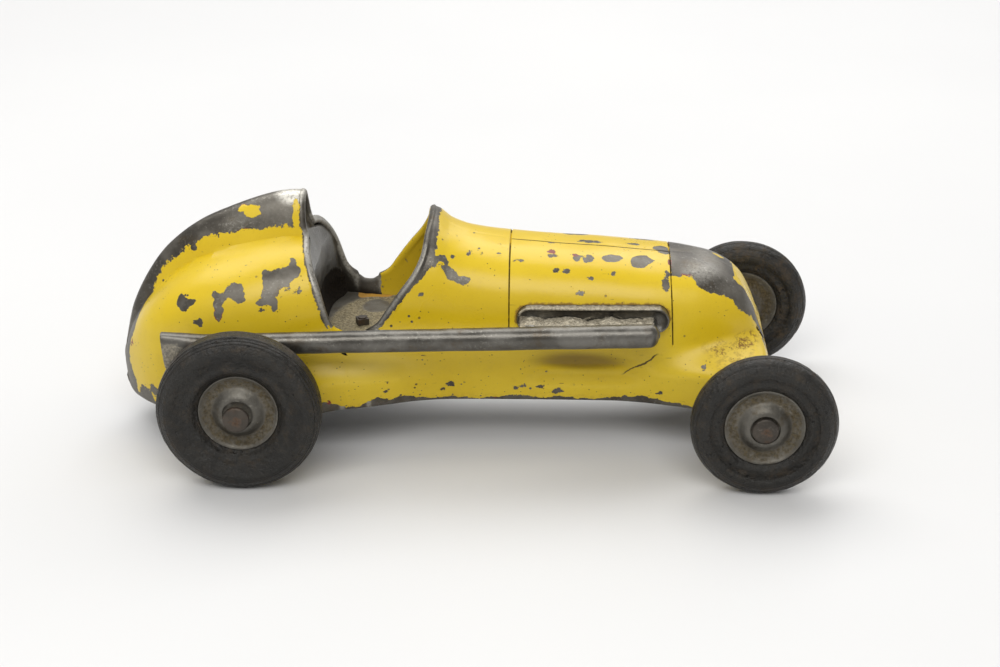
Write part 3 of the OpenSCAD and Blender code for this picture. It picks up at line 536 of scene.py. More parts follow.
def casting():
    (outer, inner), v = skins()
    ends = (len(outer) - len(stations)) // 2
    rows, ring = v.shape[1] - 1, outer.shape[1]
    rim_i = ends + int(np.argmin(abs(stations - RIM_X)))
    cowl_i = ends + int(np.argmin(abs(stations - COWL_X)))
    low = len(low_rows) - 1
    du = np.gradient(outer, axis=0)
    dv = np.gradient(outer, axis=1)
    normal = np.cross(dv, du)
    normal /= np.maximum(np.linalg.norm(normal, axis=-1, keepdims=True), 1e-9)
    if normal[ends + 100, rows, 2] < 0:
        normal = -normal
    # rolled beads along the cockpit's edges, hood seams, and the slight waves of a hand-finished casting
    x0 = np.concatenate([np.full(ends, stations[0]), stations, np.full(ends, stations[-1])])[:, None]
    vv = np.concatenate([np.tile(v[0], (ends, 1)), v, np.tile(v[-1], (ends, 1))])
    vv = np.concatenate([vv, vv[:, -2::-1]], 1)
    x, y, z = outer[..., 0], outer[..., 1], outer[..., 2]
    rise = np.clip((vv - 1.0) / 0.2, 0, 1)
    near_rim = np.clip(1 - (RIM_X - x0) / 2.6, 0, 1) * (x0 <= RIM_X)
    near_cowl = np.clip(1 - (x0 - COWL_X) / 2.8, 0, 1) * (x0 >= COWL_X)
    bead = smooth(np.maximum(near_rim, near_cowl)) * rise
    cut = np.zeros_like(x)
    for centre, end_z in ((HOOD_REAR, 44.5), (HOOD_FRONT, 38.5)):
        depth = np.interp(x0 - centre, GROOVE, GROOVE_DEPTH, 0, 0)
        cut = np.maximum(cut, depth * smooth((z - end_z) / 1.5))
    share = np.concatenate([np.zeros(len(low_rows) + len(high_rows)), np.interp(tight, [0.285, 0.31, 0.335, 0.36, 0.385],
                            GROOVE_DEPTH, 0, 0), np.zeros(rows + 1)])[None, :]
    hinge = share * ((x0 > HOOD_REAR - 0.1) & (x0 < HOOD_FRONT + 0.1))
    cut = np.maximum(cut, hinge)
    flat = outer.reshape(-1, 3)
    wave = (lump(flat, 0.16, 15) + lump(flat, 0.05, 5, 2)).reshape(x.shape)
    keep = smooth((z - along(EDGE, x)) / 2) * smooth((vv < 1.995) * 1.0)
    inner += -normal * (0.25 * bead)[..., None]
    outer = outer + normal * (0.38 * bead - 0.5 * cut + np.where(abs(y) > 0.01, wave * keep, 0))[..., None]
    count = outer.shape[0] * ring
    faces = []
    for layer, flip in ((0, False), (count, True)):
        for i in range(outer.shape[0] - 1):
            for j in range(ring - 1):
                if rim_i <= i < cowl_i and low <= j < ring - 1 - low:
                    continue
                a = layer + i * ring + j
                q = (a, a + 1, a + ring + 1, a + ring)
                faces.append(q[::-1] if flip else q)
    points = [outer.reshape(-1, 3), inner.reshape(-1, 3)]
    total = 2 * count

    def cap(loop, direction, steps=6, bulge=1.0):
        nonlocal total
        k = [i * ring + j for i, j in loop]
        o, n = points[0][k], points[1][k]
        mid, half = (o + n) / 2, (o - n) / 2
        run = np.roll(mid, -2, 0) - np.roll(mid, 2, 0)
        t = np.cross(run, half)
        t /= np.maximum(np.linalg.norm(t, axis=1, keepdims=True), 1e-9)
        if np.sum(t * direction(mid)) < 0:
            t = -t
        if bulge == 1.0:
            t = sum(np.roll(t, q, 0) for q in range(-5, 6))
            t /= np.linalg.norm(t, axis=1, keepdims=True)
        r = np.linalg.norm(half, axis=1, keepdims=True) * bulge
        rings = [k]
        for a in np.linspace(0, np.pi, steps + 1)[1:-1]:
            points.append(mid + half * np.cos(a) + t * r * np.sin(a))
            rings.append(list(range(total, total + len(k))))
            total += len(k)
        rings.append([count + q for q in k])
        for a, b in zip(rings[:-1], rings[1:]):
            for q in range(len(k)):
                w = (q + 1) % len(k)
                faces.append((a[q], a[w], b[w], b[q]))

    far = ring - 1 - low
    opening = ([(rim_i, j) for j in range(low, far + 1)] + [(i, far) for i in range(rim_i + 1, cowl_i + 1)]
               + [(cowl_i, j) for j in range(far - 1, low - 1, -1)] + [(i, low) for i in range(cowl_i - 1, rim_i, -1)])
    cap(opening, lambda p: np.array([-38, 0, 62]) - p)
    last = outer.shape[0] - 1
    hem = [(i, 0) for i in range(last + 1)] + [(i, ring - 1) for i in range(last - 1, 0, -1)]
    cap(hem, lambda p: np.tile([0, 0, -1.0], (len(p), 1)), 4, 0.35)
    points = np.concatenate(points)
    points[:, 2] = np.where(points[:, 2] > 83.8, 83.8 + 0.75 * (points[:, 2] - 83.8), points[:, 2])
    points[:, 0] = np.maximum(points[:, 0], -120.58)
    ob = mesh_object("body_casting", points, faces, 40)
    cutters = [prism("c1", circle(96.5, 24, 2.45), -45, 45), prism("c2", circle(-73.5, 27, 4.02), -45, 45),
               prism("c3", stadium(15.7, 66.4, TRAY_Z, TRAY_R + 0.12), -36, -15)]
    for k in range(-3, 4):
        cutters.append(grille_slot(k * 4.3))
    boolean(ob, cutters)
    clean(ob, 40)
    return ob


def front_x(y, z):
    """Forward edge of the casting at a place across and a height."""
    lo, hi = 60.0, 102.1
    for _ in range(24):
        mid = (lo + hi) / 2
        inside = mid < 101.2 and z < along(TOP, mid) and half_width(np.array(mid), np.array(z)) > abs(y)
        lo, hi = (mid, hi) if inside else (lo, mid)
    return lo


def grille_slot(y):
    """Cutter for one upright slot, a set depth into the nose all the way down."""
    top = 49.5 - 0.045 * y * y
    zs = np.linspace(24.5, top, 16)
    pts, n = [], len(zs)
    for side in (-0.75, 0.75):
        for q, zz in enumerate(zs):
            depth = 0.6 * math.sqrt(max(1 - ((q - (n - 1) / 2) / ((n - 1) / 2)) ** 4, 0.04))
            x = front_x(y, zz)
            pts += [(x - depth, y + side, zz), (x + 4, y + side, zz)]
    faces = []
    for q in range(n - 1):
        a, b = 2 * q, 2 * n + 2 * q
        faces += [(a, a + 1, a + 3, a + 2), (b, b + 2, b + 3, b + 1), (a, a + 2, b + 2, b), (a + 1, b + 1, b + 3, a + 3)]
    e = 2 * n - 2
    faces += [(0, 2 * n, 2 * n + 1, 1), (e, e + 1, 2 * n + e + 1, 2 * n + e)]
    return mesh_object("slot", pts, faces)


# Larger bare places on the right side, as outlines of (forward, up) in mm
SIDE_PATCHES = [
    [(-96, 56.2), (-93.2, 55), (-90.4, 55.4), (-89.8, 54.4), (-92, 53.2), (-93.4, 51.2), (-95, 51), (-96, 52.3), (-97.2, 53),
     (-96.6, 54.8)],
    [(-85, 58), (-83.8, 58.6), (-82.6, 57.8), (-80.8, 57.9), (-79.2, 60.2), (-77.4, 61), (-74.8, 60.8), (-73, 59), (-74.2, 58.6),
     (-73, 56.4), (-75.4, 55.2), (-77, 56), (-78, 57), (-80, 56.8), (-81, 54.8), (-80.4, 53.4), (-81.8, 48.4), (-83, 50),
     (-84, 51.8), (-83.4, 53.4), (-84.4, 54.6), (-83.8, 56), (-84.8, 57)],
    [(-68.4, 63.4), (-67.6, 64.8), (-65.4, 64.6), (-60.6, 65.6), (-58.4, 66.4), (-56.2, 66), (-54.8, 64), (-57, 62.8), (-59, 61.4),
     (-61.8, 60), (-62, 58.8), (-59.4, 57), (-60, 56.4), (-62, 57.8), (-63.2, 57.6), (-62.2, 56.4), (-62.6, 53.6), (-64, 53),
     (-64.6, 54.7), (-66, 55.4), (-68.4, 54.8), (-70, 56), (-68.2, 57.2), (-67.2, 57.4), (-68.2, 58.9), (-67, 60)],
    [(-91.2, 49.2), (-89.6, 49.2), (-88.5, 50.1), (-87.8, 49.5), (-87.6, 47.4), (-88.6, 47), (-90, 48.1), (-91.2, 47.8)],
    [(-13, 69.2), (-8, 68.2), (-7, 66.8), (-6.8, 65.5), (-5, 64.2), (-3.2, 62.4), (-0.5, 62), (0.8, 61.5), (0, 60.2), (-1.9, 59.4),
     (-4.2, 60.4), (-5.4, 61.2), (-7.2, 61.6), (-8.1, 63.5), (-9.4, 65.8), (-8.2, 65.9), (-8.8, 66.7), (-13, 67.6)]]
# Bare places on top of the hood, right of its hinge line, as outlines of (forward, across)
TOP_PATCHES = [
    [(34.2, -11.7), (35, -9.2), (37, -10), (39, -8.7), (40.8, -9.4), (41.6, -11.2), (40.4, -13.2), (38.3, -13.7), (37.7, -12.5),
     (37.4, -11), (36.7, -11), (36.4, -13.3), (35.3, -13.5)],
    [(43.9, -10.6), (44.6, -9), (47.1, -8), (49.6, -8.1), (51.1, -9.4), (50, -11.1), (47.5, -12.3), (44.8, -12.3)],
    [(53.4, -11), (54.2, -8.1), (56.4, -6.8), (58.9, -6), (60.1, -8), (62, -9.6), (59, -11.8), (58, -13.5), (55.8, -14), (54, -13.1)]]
# Smaller bare places: (forward, across, up, reach along, reach round); the shader makes all edges ragged
CHIPS = [
    (-58.5, -28.2, 59.5, 1.3, 0.6), (-55.6, -27.8, 59.7, 0.5, 0.9), (-57.5, -28.6, 58.6, 0.6, 0.5), (-67.8, -31.4, 53.5, 1.0, 0.6),
    (-58.2, -20.5, 67.2, 0.9, 0.9), (-85.2, -6.3, 70.1, 0.9, 0.7), (-94, -5.7, 65.8, 1.0, 0.7), (-104, -20, 44, 0.5, 1.0),
    (-99.5, -25.5, 38, 0.6, 1.2), (-104.5, -22.5, 31, 1.0, 0.7), (-107, -19, 35, 0.5, 0.9), (-101, -26, 28, 0.8, 0.6),
    (-111, -17.5, 15.5, 4.4, 4.0), (-107.5, -21, 19.5, 1.8, 2.4),
    (-12.0, -19.6, 66.4, 2.6, 1.8), (-5.4, -17, 67.6, 0.8, 0.5), (-0.1, -14.2, 67.8, 0.6, 0.9), (4, -13.2, 67.4, 0.9, 0.6),
    (9.2, -12, 67.2, 0.6, 0.4), (1.8, -1.0, 71.0, 1.4, 1.2), (-15.7, -24.6, 57.2, 0.8, 0.7),
    (16, -14.7, 65.4, 1.7, 0.6), (27.4, -11.2, 66.1, 1.9, 0.9), (28.8, -17.2, 63.1, 1.1, 0.8), (32.0, -17.0, 63.1, 1.4, 1.2),
    (36.8, -22.1, 57.3, 1.1, 0.9), (47.7, -16.8, 62.1, 0.7, 0.8), (27.5, -1.9, 67.7, 2.0, 0.8), (40, 1.5, 67, 4.0, 1.4),
    (55, 2.5, 65.6, 2.2, 1.0), (64, 0.5, 64.6, 2.6, 2.6), (39.6, -18.9, 61.1, 1.5, 0.5),
    (65.2, -18.6, 59.2, 1.2, 2.6), (65.6, -15.5, 61.8, 0.8, 1.8), (65.4, -1.5, 64.2, 2.2, 2.4),
    (98.2, -11, 38.6, 0.9, 3.0), (78.2, -27.4, 32.6, 1.0, 1.9), (96.4, -11.4, 41.6, 0.8, 1.6),
    (15.3, -22.5, 22.5, 1.0, 0.9), (23.7, -22.5, 22.8, 1.4, 0.7), (29.4, -22.1, 21.4, 2.0, 1.1), (17.5, -22.2, 23.4, 1.4, 0.8),
    (64, -25.1, 22.5, 1.2, 0.8), (57.8, -24.8, 27.8, 0.9, 0.9), (-6.6, -23.3, 24.1, 1.6, 1.2), (-9, -23.5, 22, 0.9, 1.1),
    (-28, -28, 23, 0.9, 0.8), (-18, -24.2, 30, 0.6, 0.6), (5, -23, 31, 0.6, 0.5), (40, -23, 25, 0.5, 0.5),
    (-86, 29, 55, 5, 3.4), (-80, 28, 58, 4, 3), (-62, 29, 58, 4, 2.2), (-100, 24, 50, 3.4, 2.6), (-70, 31, 45, 2.4, 3.4),
    (-5, 21.5, 63, 4.4, 2.2), (-1, 23, 58, 2.4, 3.6), (22, 20, 61, 2.0, 1.4), (35, 11, 65.5, 4.2, 2.2), (45, 14, 64, 2.6, 1.6),
    (58, 12, 64, 4.4, 2.6), (30, 24.5, 48, 2.2, 1.4), (52, 22.5, 52, 1.8, 2.6), (75, 26, 33, 2.4, 1.6), (90, 30, 30, 3.2, 2.0),
    (-25, 27, 34, 1.6, 1.2), (10, 23, 28, 1.8, 1.2), (-50, 34, 27, 2.6, 2.0), (-95, 27, 33, 2.2, 1.8),
    (101, 14, 22, 2, 2.4), (100, -17, 24, 2, 1.8), (101.5, 2, 21, 2, 1.4), (90, -30.5, 30, 1.6, 1.2)]
PRIMER = [(27.2, -8.6, 66.7, 2.4, 1.3), (35, -9.8, 65.9, 1.5, 0.9), (38.6, -9, 66, 1.0, 0.5), (26.3, 0.6, 68.2, 1.8, 0.9),
          (66.5, -9, 63.5, 0.7, 2.2), (-110, -6, 51.5, 1.2, 1.8), (-115.6, -13.6, 33.5, 0.9, 1.8), (-115.4, -13.4, 29, 0.8, 1.0),
          (-46.5, -31.8, 20.8, 1.4, 0.9), (27, 12, 66, 1.8, 1.0), (-57, 25, 63, 1.2, 0.9)]
ISLANDS = [(-73.6, -4.6, 78.4, 3.0, 2.2), (-77, -3.4, 79.2, 1.6, 1.4), (-58.6, -5.9, 79.6, 1.2, 3.4), (38.2, -10.2, 65.4, 0.7, 1.1),
           (-88, 4, 74, 3, 1.6), (84, 6, 60, 2.4, 1.6)]


def spots(x, y, z, table):
    best = np.full(len(x), -9.0)
    for cx, cy, cz, rx, rs in table:
        near = np.abs(x - cx) < rx + 9
        d = np.sqrt(((x[near] - cx) / rx) ** 2 + ((y[near] - cy) ** 2 + (z[near] - cz) ** 2) / rs ** 2)
        best[near] = np.maximum(best[near], (1 - d) * min(rx, rs))
    return best


def patch(u, v, outline):
    """Distance from the border of an outline, in mm, positive inside it."""
    inside, best = np.zeros(len(u), bool), np.full(len(u), 9.0)
    for (a, b), (c, d) in zip(outline, outline[1:] + outline[:1]):
        t = np.clip(((u - a) * (c - a) + (v - b) * (d - b)) / ((c - a) ** 2 + (d - b) ** 2), 0, 1)
        best = np.minimum(best, np.hypot(u - a - t * (c - a), v - b - t * (d - b)))
        inside ^= ((b > v) != (d > v)) & (u < (c - a) * (v - b) / (d - b + 1e-9) + a)
    return np.where(inside, best, -best)


def depth_in(x, y, z):
    """About how far a point is inside the outer face."""
    return half_width(np.minimum(x, 101.2), z) - np.abs(y)


def lining(x, y, z):
    slope = (half_width(x, z + 0.2) - half_width(x, z - 0.2)) / 0.4
    return smooth((depth_in(x, y, z) / np.sqrt(1 + slope * slope) - 1.3) / 0.5) * (z < along(TOP, x) - 1.3) * (x < 99.5) * (x > -118.5)


def wear(x, y, z):
    a = np.abs(y)
    f = spots(x, y, z, CHIPS)
    for outline in SIDE_PATCHES:
        f = np.maximum(f, np.where(y < 0, 1.9 * patch(x, z, outline), -9))
    for outline in TOP_PATCHES:
        f = np.maximum(f, np.where((y < 0) & (z > 55), 1.9 * patch(x, y, outline), -9))
    band = np.interp(z, [14, 20, 26, 34, 38.8, 41, 45, 52, 58, 66, 70, 73, 74, 90],
                     [13, 13.6, 11.4, 12.4, 13.4, 11, 5.6, 4.5, 4.4, 5.2, 5.8, 7.2, 8.1, 8.6]) - a
    tail = np.minimum(band * 0.9, np.where(z < 81, -59.6 - x, 4))
    f = np.maximum(f, np.where(x < -40, tail, -9))
    nose = z - np.interp(x, [66.6, 70.2, 73.9, 75.8, 80.5, 87.7, 88.3, 94.5, 96.5, 99.8],
                         [61.2, 60.8, 60.3, 57.9, 56, 53.3, 51.5, 46, 42, 35.2])
    nose = np.minimum(nose, (x - 66.9) * 1.4)
    nose = np.minimum(nose, np.where(z < 57.5, (a - 8.2) * 0.8, 4))
    f = np.maximum(f, np.where(x > 60, nose, -9))
    hem = np.interp(x, [-120, -60, -48, -42, -37, -31, -26, -22, -14, -5, 3, 17, 24, 31, 41, 47, 57, 66, 75, 101],
                    [1.2, 2, 4.4, 1, 0.8, 3.4, 1.8, 3, 0.8, 1.1, 0.3, 1.9, 0.5, 1.4, 0.3, 1.2, 2.6, 1.6, 0.6, 1])
    f = np.maximum(f, hem - (z - along(EDGE, x)))
    rim = 1.9 - (along(RIM, z) - x)
    f = np.maximum(f, np.where((x < -38) & (z > 43 + 3.4 * (y < 0)), np.minimum(rim, 3), -9))
    cowl = np.interp(z, [43, 50, 58, 62, 68, 75, 80], [1.4, 1.8, 2.6, 3.6, 4.8, 4.0, 3.2]) - (x - along(COWL, z))
    f = np.maximum(f, np.where((x > -38) & (x < 0) & (z > 43), np.minimum(cowl, 3), -9))
    f = np.maximum(f, np.where((y > 0) & (x > -47) & (x < -32.5) & (z > 37), z - 40.6, -9))
    f = np.minimum(f, -spots(x, y, z, ISLANDS))
    dark = np.minimum(3, -33.5 - x)
    return np.where(lining(x, y, z) > 0.5, dark, f)


def seams(x, y, z):
    line = 0.045 * np.maximum(62 - z, 0)
    f = np.maximum(smooth(1.5 - np.abs(x - HOOD_REAR) / 0.24) * smooth((z - 44.5) / 1.5),
                   smooth(1.5 - np.abs(x - HOOD_FRONT - line) / 0.24) * smooth((z - 38.5) / 1.5))
    hinge = smooth(1.9 - np.abs(y - HINGE_Y) / 0.22) * ((x > HOOD_REAR) & (x < HOOD_FRONT) & (z > 60))
    return np.clip(np.maximum(f, hinge), 0, 1) * (depth_in(x, y, z) < 3)


def painted_pipe_shadow(x, y, z):
    """Painted shadow under the front end of the exhaust: a soft dark patch on the paint."""
    return smooth(1.6 - np.hypot((x - 37) / 13, (z - 33.2 + 0.03 * (x - 37)) / 3.4)) * (y < 0) * (depth_in(x, y, z) < 1.5)


def crack(x, y, z):
    """Height above the crack in the right flank, in mm."""
    return np.clip((z - np.interp(x, [51.5, 54.4, 57.1, 59.7, 62.6], [27.3, 30.4, 32.1, 33.8, 36.2])) * 0.75, -3, 3)


def crack_reach(x, y, z):
    return smooth((x - 51) / 1.4) * smooth((63.2 - x) / 1.4) * (y < 0) * (np.abs(z - 31.5) < 7)


def flange_gap(x, y, z):
    """Distance outside the opening for the exhaust's flange, in mm."""
    d = np.hypot(np.maximum(np.abs(x - 41.05) - 21, 0), z - TRAY_Z) - TRAY_R
    return np.where(y < -12, np.clip(d, -1, 6), 6)


def primer(x, y, z):
    return spots(x, y, z, PRIMER)


# Paler paint on the nose's front face, and painted highlights on the shelf over the front wheel and on the rear flare
def pale_nose_and_painted_highlight(x, y, z):
    front = smooth((x - 88) / 8) * smooth((9.5 - np.abs(y)) / 3) * (z > 28)
    shelf_highlight = smooth(1 - np.hypot((x - 90) / 16, (z - 37) / 6))
    rear = smooth(1 - np.hypot((x + 35) / 22, (z - 33) / 7)) * 0.6
    return np.clip(front + shelf_highlight * 0.5 + rear, 0, 1)


def soil(x, y, z):
    g = 1.3 * smooth(1.4 - np.hypot((x - 92.5) / 4, (z - 39.8) / 2.4)) + 0.8 * smooth(1.3 - np.hypot((x - 83) / 5.5, (z - 38.5) / 2.4))
    g += 0.5 * smooth(1.2 - np.hypot((x - 88) / 9, (z - 35) / 4))
    g += 0.25 * smooth((along(EDGE, x) + 4 - z) / 4)
    return np.clip(g, 0, 1.2)


def rear_interior_darkening(x, y, z):
    """Near-black darkening of the cockpit's rear inner walls, from a little below its edge downwards."""
    edge = np.interp(-x, [34, 42, 44.4, 46.2, 49.6], [41.0, 42.2, 44.6, 47.6, 49.6])
    return lining(x, y, z) * smooth((edge - 0.8 - z) / 3.4) * (x < -33)


def polish(x, y, z):
    tip = smooth(1.4 - np.hypot((x + 60.5) / 5, (z - 84) / 2.6)) * (x < -50)
    nose = 0.34 * smooth(1.2 - np.hypot((x - 76) / 9, (z - 60.5) / 2.6))
    edge = 0.5 * (smooth(1.2 - np.abs(along(RIM, z) - x - 0.4) / 1.2) * (x < -38) * (z < 74) + smooth(1.2 - np.abs(x - along(COWL, z) - 0.3) / 1.0) * (x > -38) * (x < 0) * (z < 72))
    return np.clip(tip + nose + edge, 0, 1)


body = casting()
for name, f in (("wear", wear), ("seam", seams), ("crack", crack), ("crack_reach", crack_reach),
                ("rear_interior_darkening", rear_interior_darkening), ("painted_pipe_shadow", painted_pipe_shadow), ("flange_gap", flange_gap), ("primer", primer),
                ("pale_nose_and_painted_highlight", pale_nose_and_painted_highlight), ("soil", soil), ("polish", polish), ("inside", lining)):
    field(body, name, f)
finish_piece(body, PAINT, "chassis", ("body_shell",))


# ---------------------------------------------------------------- wheels
def turned(name, profile, steps, x, z, y, side, bumps=None, angle=35):
    """Ring-shaped solid turned about a wheel's axis; profile offsets grow outwards on either side of the car."""
    pts, faces = lathe(profile, steps)
    if bumps:
        pts = bumps(pts)
    faces = wrap(faces, len(pts))
    pts[:, 1] = side * (y + pts[:, 1])
    pts += np.array([x, 0, z])
    return mesh_object(name, pts, faces, angle)


def rounded(points, steps=4, share=0.35):
    """Closed outline with its corners eased by quadratic curves."""
    p = np.asarray(points, float)
    out = []
    for i in range(len(p)):
        a, b, c = p[i - 1], p[i], p[(i + 1) % len(p)]
        a, c = b + (a - b) * share, b + (c - b) * share
        for t in np.linspace(0, 1, steps):
            out.append((1 - t) ** 2 * a + 2 * t * (1 - t) * b + t * t * c)
    return np.array(out)


def tyre_profile(r, w, groove):
    """Section of a tyre with a bulged flank, a step below the tread, and fine grooves round each shoulder."""
    h = w / 2
    half = [(13.0, 0.0), (13.0, 1.9), (13.4, 2.75), (14.0, 3.15), (14.9, (h + 1.5) / 2 + 0.35), (16.2, h - 1.6), (17.4, h - 1.6),
            (18.4, h - 1.3), (r - 6.4, h - 0.55), (r - 5.2, h - 0.12), (r - 4.1, h - 0.05), (r - 3.7, h - 0.3), (r - 3.3, h - 0.32),
            (r - 2.7, h - 0.75), (r - 1.9, h - 1.3), (r - 1.75, h - 1.75)]
    if groove:
        half += [(r - 1.35, h - 1.8), (r - 0.95, h - 2.35), (r - 1.0, h - 2.75), (r - 0.6, h - 2.85), (r - 0.38, h - 3.4),
                 (r - 0.45, h - 3.8), (r - 0.14, h - 3.95)]
    else:
        half += [(r - 1.2, h - 2.0), (r - 0.5, h - 2.9)]
    half += [(r - 0.03, h - 4.6), (r, 1.0), (r, 0)]
    other = [(a, -b) for a, b in half[-2:0:-1]]
    return rounded(half + other, 3, 0.33)


def tyre_bumps(r, w, seed):
    def change(p):
        rad = np.hypot(p[:, 0], p[:, 2])
        d = lump(p, 0.10, 3.4, seed) + lump(p, 0.22, 14, seed + 3)
        tread = smooth((rad - (r - 3)) / 2)
        chew = np.maximum(lump(p, 1.0, 2.1, seed + 5) - 0.42, 0) * 1.1 * tread
        scale = 1 + (d * (rad < r - 0.2) * (rad > 14) - chew - 0.10) / np.maximum(rad, 1)
        q = p.copy()
        q[:, 0] *= scale
        q[:, 2] *= scale
        q[:, 1] -= np.sign(p[:, 1]) * np.maximum(lump(p, 1.0, 2.6, seed + 9) - 0.45, 0) * 0.8 * (rad > r - 5) + 0.0
        return q
    return change


def hub_profile():
    """Section of the hub: inner sleeve, two flanges, grimy dish, domed boss and a recess for the axle's head."""
    edge = [(12.8, 2.25), (13.05, 2.45), (13.1, 2.7), (12.95, 2.87), (12.65, 2.88), (12.3, 2.62), (11.6, 2.15), (10.7, 1.72),
            (9.8, 1.55), (9.1, 1.66), (8.5, 2.0), (7.95, 2.55), (7.35, 3.15), (6.7, 3.75), (6.1, 4.18), (5.5, 4.42),
            (5.1, 4.46), (4.85, 4.36), (4.72, 4.1), (4.7, 3.55), (2.46, 3.5)]
    back = [(2.46, -13), (4.1, -13), (4.3, -12.8), (4.4, -7), (4.9, -5.6), (6.0, -4.5), (7.4, -3.6), (8.6, -2.4), (9.6, -1.9),
            (10.6, -2.0), (11.6, -2.5), (12.3, -2.9), (12.9, -2.85), (13.1, -2.5), (13.1, -1.9), (12.8, -1.7), (11.6, -1.7),
            (11.6, 1.75)]
    return back + [(12.6, 1.8), (12.9, 1.95)] + edge


def hub_bumps(seed):
    def change(p):
        front = p[:, 1] > 0.5
        q = p.copy()
        rad = np.hypot(p[:, 0], p[:, 2])
        q[:, 1] += np.where(front & (rad > 5), lump(p, 0.10, 2.6, seed) + lump(p, 0.12, 7, seed + 1) - 0.05, 0)
        dent = np.maximum(lump(p, 1.0, 2.2, seed + 4) - 0.4, 0) * 0.7
        q[:, 1] -= np.where(front & (rad > 12.2), dent, 0)
        return q
    return change


def wheel(corner, x, z, r, w, body_name, side, seed):
    tyre = turned(corner + "_tyre_rubber", tyre_profile(r, w, r > 25), 180, x, z, 51.6, side, tyre_bumps(r, w, seed), 50)

    def dust(px, py, pz):
        rad, out = np.hypot(px - x, pz - z), side * py - 51.6
        g = np.interp(rad, [13, 14.5, 16.8, 19, r - 4.2, r - 3.4, r - 1.6, r], [0.8, 0.25, 0.75, 0.25, 0.2, 0.7, 0.35, 0.3])
        return np.where(out > 2, g, 1.0)
    field(tyre, "dust", dust)
    finish_piece(tyre, RUBBER, body_name, (corner + "_tyre",))
    hub = turned(corner + "_hub_casting", hub_profile(), 120, x, z, 51.6, side, hub_bumps(seed + 20), 42)

    def grime(px, py, pz):
        rad, out = np.hypot(px - x, pz - z), side * py - 51.6
        g = np.interp(rad, [4.6, 5.2, 8, 9.2, 11.6, 12.6, 13.1], [0.45, 0.12, 0.22, 0.62, 0.58, 0.3, 0.05])
        return np.where(out > 0.5, g, np.interp(rad, [4, 6, 9.5, 12, 13], [0.7, 0.4, 0.75, 0.45, 0.2]))
    field(hub, "dust", grime)
    finish_piece(hub, HUB, body_name, (corner + "_hub",))


REAR, FRONT = (-73.5, 27, 27, 13), (96.5, 24, 24, 10.8)
wheel("rear_right", *REAR, "rear_axle_set", -1, 1)
wheel("rear_left", *REAR, "rear_axle_set", 1, 2)
wheel("front_right", *FRONT, "front_right_wheel", -1, 3)
wheel("front_left", *FRONT, "front_left_wheel", 1, 4)


def axle(name, x, z, back, body_name, node, seed):
    """Rod with a peened head at each end; back is where the heads start."""
    front = back + 1.8
    half = [(0, front - 0.12), (0.5, front - 0.1), (0.9, front - 0.02), (2.2, front), (3.2, front - 0.03), (3.85, front - 0.14),
            (4.2, front - 0.4), (4.35, front - 0.8), (4.33, back + 0.25), (4.1, back), (2.4, back)]
    profile = half + [(r, -y) for r, y in half[::-1]]
    a = np.arange(72) * 2 * np.pi / 72
    pts = np.array([[r * np.cos(t), y, r * np.sin(t)] for r, y in profile for t in a])
    rad = np.hypot(pts[:, 0], pts[:, 2])
    pts[:, 1] -= np.sign(pts[:, 1]) * np.where((abs(pts[:, 1]) > back) & (rad < 4), np.abs(lump(pts, 0.22, 2.0, seed)), 0)
    ob = mesh_object(name, pts + np.array([x, 0, z]), grid_faces(len(profile), 72, True), 40)
    field(ob, "dust", lambda px, py, pz: 0.55 * smooth(1.3 - np.hypot(px - x - 0.2, pz - z + 0.4) / 2.6))
    finish_piece(ob, STEEL, body_name, (node,))


axle("rear_axle_rod", -73.5, 27, 58.2, "rear_axle_set", "rear_axle", 31)
axle("front_axle_rod", 96.5, 24, 55.6, "chassis", "front_axle", 37)


# ---------------------------------------------------------------- exhaust
def loft(sections):
    """Closed tube through rings of equal length, capped at both ends."""
    n = len(sections[0])
    pts = np.concatenate(sections)
    faces = grid_faces(len(sections), n, True)
    faces += [tuple(range(n))[::-1], tuple(range((len(sections) - 1) * n, len(sections) * n))]
    return pts, faces


def slab(face, back, n, m):
    """Closed solid between two n by m grids of points."""
    faces = grid_faces(n, m) + grid_faces(n, m, start=n * m, flip=True)
    edge = ([(0, j) for j in range(m)] + [(i, m - 1) for i in range(1, n)]
            + [(n - 1, j) for j in range(m - 2, -1, -1)] + [(i, 0) for i in range(n - 2, 0, -1)])
    k = [i * m + j for i, j in edge]
    faces += [(k[q], k[(q + 1) % len(k)], k[(q + 1) % len(k)] + n * m, k[q] + n * m) for q in range(len(k))]
    return np.concatenate([face, back]), faces


